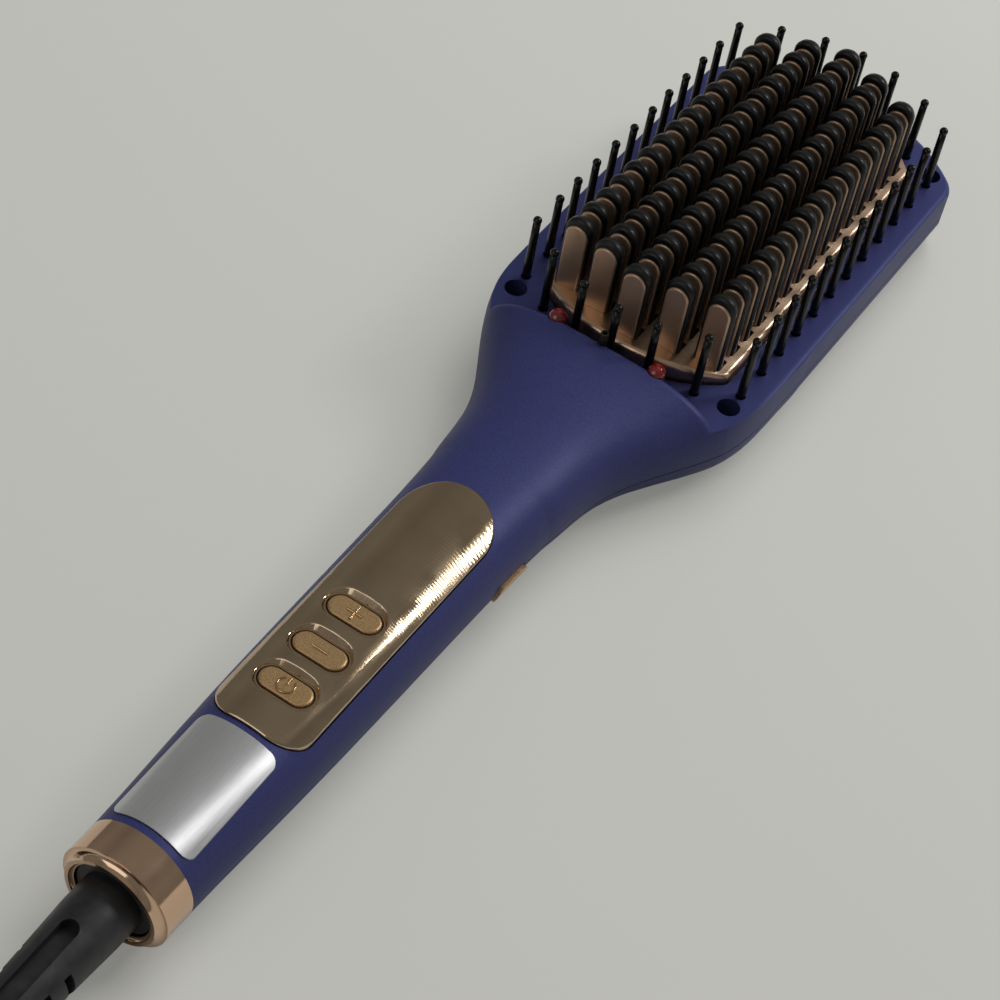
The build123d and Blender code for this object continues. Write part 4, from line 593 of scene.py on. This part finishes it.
def grown(name, mesh, tree, identifiers, sizes):
    """A mesh run through a geometry tree with given sizes, and left as a plain mesh."""
    piece = placed(name, mesh)
    modifier = piece.modifiers.new("grow", "NODES")
    modifier.node_group = tree
    for label, value in sizes.items():
        modifier[identifiers[label]] = value
    evaluated = piece.evaluated_get(bpy.context.evaluated_depsgraph_get())
    result = bpy.data.meshes.new_from_object(evaluated)
    piece.modifiers.clear()
    piece.data = result
    return piece


def field_piece(piece, node):
    """A piece of the field that stands for a node of the frame."""
    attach(piece, "root")
    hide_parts(node)


row_tree, row_inputs = blade_row_tree()
for column, count in enumerate(COLUMN_COUNTS):
    x = (column - (len(COLUMN_COUNTS) - 1) / 2) * COLUMN_PITCH
    front = FIELD_Y - (count - 1) / 2 * TOOTH_PITCH + FIN_FRONT
    fin_top = RIM_Z + PLATE_PROUD - PLATE_CROWN_RADIUS + sqrt(PLATE_CROWN_RADIUS**2 - x**2) + FIN_HEIGHT
    fin = blade_mesh(f"fin_{column + 1}", x, front, FIN_WIDTH, FIN_THICKNESS,
                     fin_top, FIN_EDGE, FIN_BACK_EDGE)
    tooth = blade_mesh(f"tooth_{column + 1}", x, front + TOOTH_SETBACK, TOOTH_WIDTH, TOOTH_THICKNESS,
                       fin_top + TOOTH_OVER, TOOTH_FRONT_EDGE, TOOTH_BACK_EDGE)
    fin_row = grown(f"fin_row_{column + 1}", fin, row_tree, row_inputs,
                    {"Blades": count, "Pitch": TOOTH_PITCH, "Finish": FIN_SATIN})
    tooth_row = grown(f"tooth_row_{column + 1}", tooth, row_tree, row_inputs,
                      {"Blades": count, "Pitch": TOOTH_PITCH, "Finish": COMB_BLACK})
    field_piece(fin_row, f"heating_fins_{column + 1}")
    field_piece(tooth_row, f"comb_teeth_{column + 1}")


def pin_spots():
    """Roots of the guard pins: a column down each side, an arc across each end."""
    spots = []
    for hand in (1, -1):
        for index in range(PINS_PER_SIDE):
            share = index - (PINS_PER_SIDE - 1) / 2
            place = share * PIN_PITCH
            if index in (0, PINS_PER_SIDE - 1):
                place += PIN_END_SHIFT if share > 0 else -PIN_END_SHIFT
            spots.append((hand * PIN_COLUMN_X, FIELD_Y + place, ROOT_Z))
    for end in (1, -1):
        for x, place in PIN_ARC_PLACES_MM:
            for hand in ((1, -1) if x else (1,)):
                spots.append((hand * x * MM, FIELD_Y + end * place * MM, ROOT_Z))
    return spots


pin_roots = bpy.data.meshes.new("pin_roots")
pin_roots.from_pydata(pin_spots(), [], [])
pin_tree, pin_inputs = pin_field_tree()
pin_field = grown("pin_field", pin_roots, pin_tree, pin_inputs, {
    "Height": PIN_TIP_Z - ROOT_Z, "Root radius": PIN_ROOT_RADIUS, "Neck radius": PIN_NECK_RADIUS,
    "Tip radius": PIN_BALL_RADIUS, "Lean": PIN_LEAN, "Seed": PIN_SEED, "Finish": PIN_BLACK})
field_piece(pin_field, "guard_pins")

# ---------------------------------------------------------------- power key and the marks on the buttons
KEY_LENGTH = 11.5 * MM
KEY_WIDTH = 5.2 * MM
KEY_TOP_Z = 22.9 * MM
KEY_ROUND = 0.6 * MM
KEY_FLANGE = 0.6 * MM
KEY_FLANGE_Z = (17.4 * MM, 18.2 * MM)
KEY_STEM_RADIUS = 1.5 * MM
MARK_Z = 23.02 * MM
MARK_RADIUS = 0.20 * MM
MARK_REACH = 1.75 * MM
MARK_RING_GAP = radians(38)
MARK_RING_STEPS = 28
MARK_BEVEL_STEPS = 3
MARK_BAR_START = 0.1 * MARK_REACH
MARK_BAR_END = 1.08 * MARK_REACH
MARK_BAR_SHARES = (0.0, 0.25, 0.75, 1.0)
BUTTON_Y = {"plus": -44.95 * MM, "minus": -55.95 * MM, "power": -66.45 * MM}


def key_ring(grow, height):
    """Outline of the power key at a height, grown all round."""
    straight = (KEY_LENGTH - KEY_WIDTH) / 2
    radius = KEY_WIDTH / 2 + grow
    ring = []
    for hand, start in ((1, -pi / 2), (-1, pi / 2)):
        angles = [start + pi * step / ARCH_STEPS for step in range(ARCH_STEPS + 1)]
        ring += [(hand * straight + radius * cos(angle), BUTTON_Y["power"] + radius * sin(angle), height)
                 for angle in angles]
    return ring


def stem_ring(height):
    """Outline of the power key's stem at a height."""
    angles = [2 * pi * step / ARCH_STEPS for step in range(ARCH_STEPS)]
    return [(KEY_STEM_RADIUS * cos(angle), BUTTON_Y["power"] + KEY_STEM_RADIUS * sin(angle), height)
            for angle in angles]


def power_key_mesh():
    """Flange and cap of the power key, rounded at the cap's edge, with the stem below them."""
    levels = [(KEY_FLANGE, KEY_FLANGE_Z[0]), (KEY_FLANGE, KEY_FLANGE_Z[1]), (0.0, KEY_FLANGE_Z[1])]
    for step in range(EDGE_STEPS + 1):
        angle = pi / 2 * step / EDGE_STEPS
        levels.append((KEY_ROUND * (cos(angle) - 1), KEY_TOP_Z - KEY_ROUND * (1 - sin(angle))))
    levels.append((-KEY_ROUND - FACE_MARGIN, KEY_TOP_Z))
    cad_key = nodes["power_button"]
    stem_end_z = min((cad_key.matrix_world @ Vector(corner)).z for corner in cad_key.bound_box)
    cap = ringed_mesh("power_cap", [key_ring(grow, height) for grow, height in levels])
    stem = ringed_mesh("power_stem", [stem_ring(stem_end_z), stem_ring(KEY_FLANGE_Z[0])])
    work = bmesh.new()
    work.from_mesh(cap)
    work.from_mesh(stem)
    work.to_mesh(cap)
    work.free()
    cap.materials.append(BUTTON_GOLD)
    return cap


power_cap = placed("power_cap", power_key_mesh())
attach(power_cap, "power_key")
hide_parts("power_button")


def bar(along_x, start, end):
    """A straight stroke through a button's middle."""
    places = [(1 - share) * start + share * end for share in MARK_BAR_SHARES]
    return [(place, 0.0) if along_x else (0.0, place) for place in places]


def broken_ring():
    """A ring left open towards the head."""
    start = pi / 2 + MARK_RING_GAP
    span = 2 * pi - 2 * MARK_RING_GAP
    angles = [start + span * step / MARK_RING_STEPS for step in range(MARK_RING_STEPS + 1)]
    return [(MARK_REACH * cos(angle), MARK_REACH * sin(angle)) for angle in angles]


MARKS = {
    "plus": [bar(True, -MARK_REACH, MARK_REACH), bar(False, -MARK_REACH, MARK_REACH)],
    "minus": [bar(True, -MARK_REACH, MARK_REACH)],
    "power": [broken_ring(), bar(False, MARK_BAR_START, MARK_BAR_END)],
}
# gold of the raised marks, lighter than the buttons' own gold: a painted highlight along the marks
MARK_GOLD_PAINTED_HIGHLIGHT = grained("mark_gold_painted_highlight", (0.56, 0.38, 0.20), (0.68, 0.48, 0.27), 1.5 * MM, (0.16, 0.26), metal=1.0,
                    grain=0.3 * MM, depth=0.003 * MM)


def mark_mesh(mark, strokes):
    """The strokes of a mark as raised round lines on its button."""
    line_work = bpy.data.curves.new(f"{mark}_mark", "CURVE")
    line_work.dimensions = "3D"
    line_work.bevel_depth = MARK_RADIUS
    line_work.bevel_resolution = MARK_BEVEL_STEPS
    line_work.use_fill_caps = True
    for stroke in strokes:
        spline = line_work.splines.new("POLY")
        spline.points.add(len(stroke) - 1)
        for control, (x, y) in zip(spline.points, stroke):
            control.co = (x, BUTTON_Y[mark] + y, MARK_Z, 1.0)
    line_work.materials.append(MARK_GOLD_PAINTED_HIGHLIGHT)
    drawn = placed(f"{mark}_mark_line", line_work)
    mesh = bpy.data.meshes.new_from_object(drawn.evaluated_get(bpy.context.evaluated_depsgraph_get()))
    mesh.shade_smooth()
    bpy.data.objects.remove(drawn)
    return mesh


for mark, strokes in MARKS.items():
    raised_mark = placed(f"{mark}_mark", mark_mesh(mark, strokes))
    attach(raised_mark, f"{mark}_key")

# ---------------------------------------------------------------- floor and light
FLOOR_SIZE = 6.0
FLOOR_TONE = (0.465, 0.464, 0.436)
FLOOR_GLOW = 0.42
FLOOR_DARKER_SHARE = 0.985
FLOOR_PATCH = 0.4


def pale_floor():
    """A pale floor, even to the camera, that keeps the object's shadow."""
    material, tree, shader, where = surface("pale_floor")
    patches = cloud(tree, where, FLOOR_PATCH)
    tone = two_tones(tree, patches, tuple(FLOOR_DARKER_SHARE * part for part in FLOOR_TONE), FLOOR_TONE)
    tree.links.new(tone, shader.inputs["Base Color"])
    shader.inputs["Roughness"].default_value = 0.9
    shader.inputs["Specular IOR Level"].default_value = 0.1
    glow = tree.nodes.new("ShaderNodeEmission")
    tree.links.new(tone, glow.inputs["Color"])
    path = tree.nodes.new("ShaderNodeLightPath")
    share = tree.nodes.new("ShaderNodeMath")
    share.operation = "MULTIPLY"
    share.inputs[1].default_value = FLOOR_GLOW
    tree.links.new(path.outputs["Is Camera Ray"], share.inputs[0])
    blend = tree.nodes.new("ShaderNodeMixShader")
    tree.links.new(share.outputs["Value"], blend.inputs["Fac"])
    tree.links.new(shader.outputs["BSDF"], blend.inputs[1])
    tree.links.new(glow.outputs["Emission"], blend.inputs[2])
    tree.links.new(blend.outputs["Shader"], tree.nodes["Material Output"].inputs["Surface"])
    return material


floor_mesh = bpy.data.meshes.new("floor")
half = FLOOR_SIZE / 2
floor_mesh.from_pydata([(-half, -half, 0), (half, -half, 0), (half, half, 0), (-half, half, 0)], [], [(0, 1, 2, 3)])
floor_mesh.materials.append(pale_floor())
placed("floor", floor_mesh)


# name, place, side in metres and watts of each light, and whether gloss shows it
LIGHTS = (
    ("window", (0.58, 0.76, 0.78), 0.25, 5.0, True),
    ("fill", (-0.35, -1.0, 0.75), 0.9, 2.6, True),
    ("ceiling", (0.10, 0.80, 1.05), 0.9, 17.5, False),
)


def area_light(name, place, side, watts, shown_in_gloss):
    """A square soft light aimed at the middle of the brush."""
    data = bpy.data.lights.new(name, "AREA")
    data.size = side
    data.energy = watts
    lamp = placed(name, data)
    lamp.location = place
    lamp.rotation_euler = (-Vector(place)).to_track_quat("-Z", "Y").to_euler()
    lamp.visible_glossy = shown_in_gloss


for light in LIGHTS:
    area_light(*light)

# height share and grey of the walls' tones, from the horizon to the top
SKY_TONES = ((0.0, 0.17), (0.38, 0.20), (0.66, 0.16), (1.0, 0.25))
WALL_TINT = (1.0, 0.99, 0.95)


def studio_walls():
    """Even grey walls and ceiling, a little warm."""
    world = bpy.data.worlds.new("studio")
    bpy.context.scene.world = world
    world.use_nodes = True
    tree = world.node_tree
    direction = tree.nodes.new("ShaderNodeTexCoord").outputs["Generated"]
    parts = tree.nodes.new("ShaderNodeSeparateXYZ")
    tree.links.new(direction, parts.inputs["Vector"])
    ramp = tree.nodes.new("ShaderNodeValToRGB")
    stops = ramp.color_ramp.elements
    while len(stops) < len(SKY_TONES):
        stops.new(0.5)
    for stop, (place, tone) in zip(stops, SKY_TONES):
        stop.position = place
        stop.color = (*(tone * part for part in WALL_TINT), 1.0)
    tree.links.new(parts.outputs["Z"], ramp.inputs["Fac"])
    tree.links.new(ramp.outputs["Color"], tree.nodes["Background"].inputs["Color"])


studio_walls()
bpy.context.scene.view_settings.view_transform = "Standard"
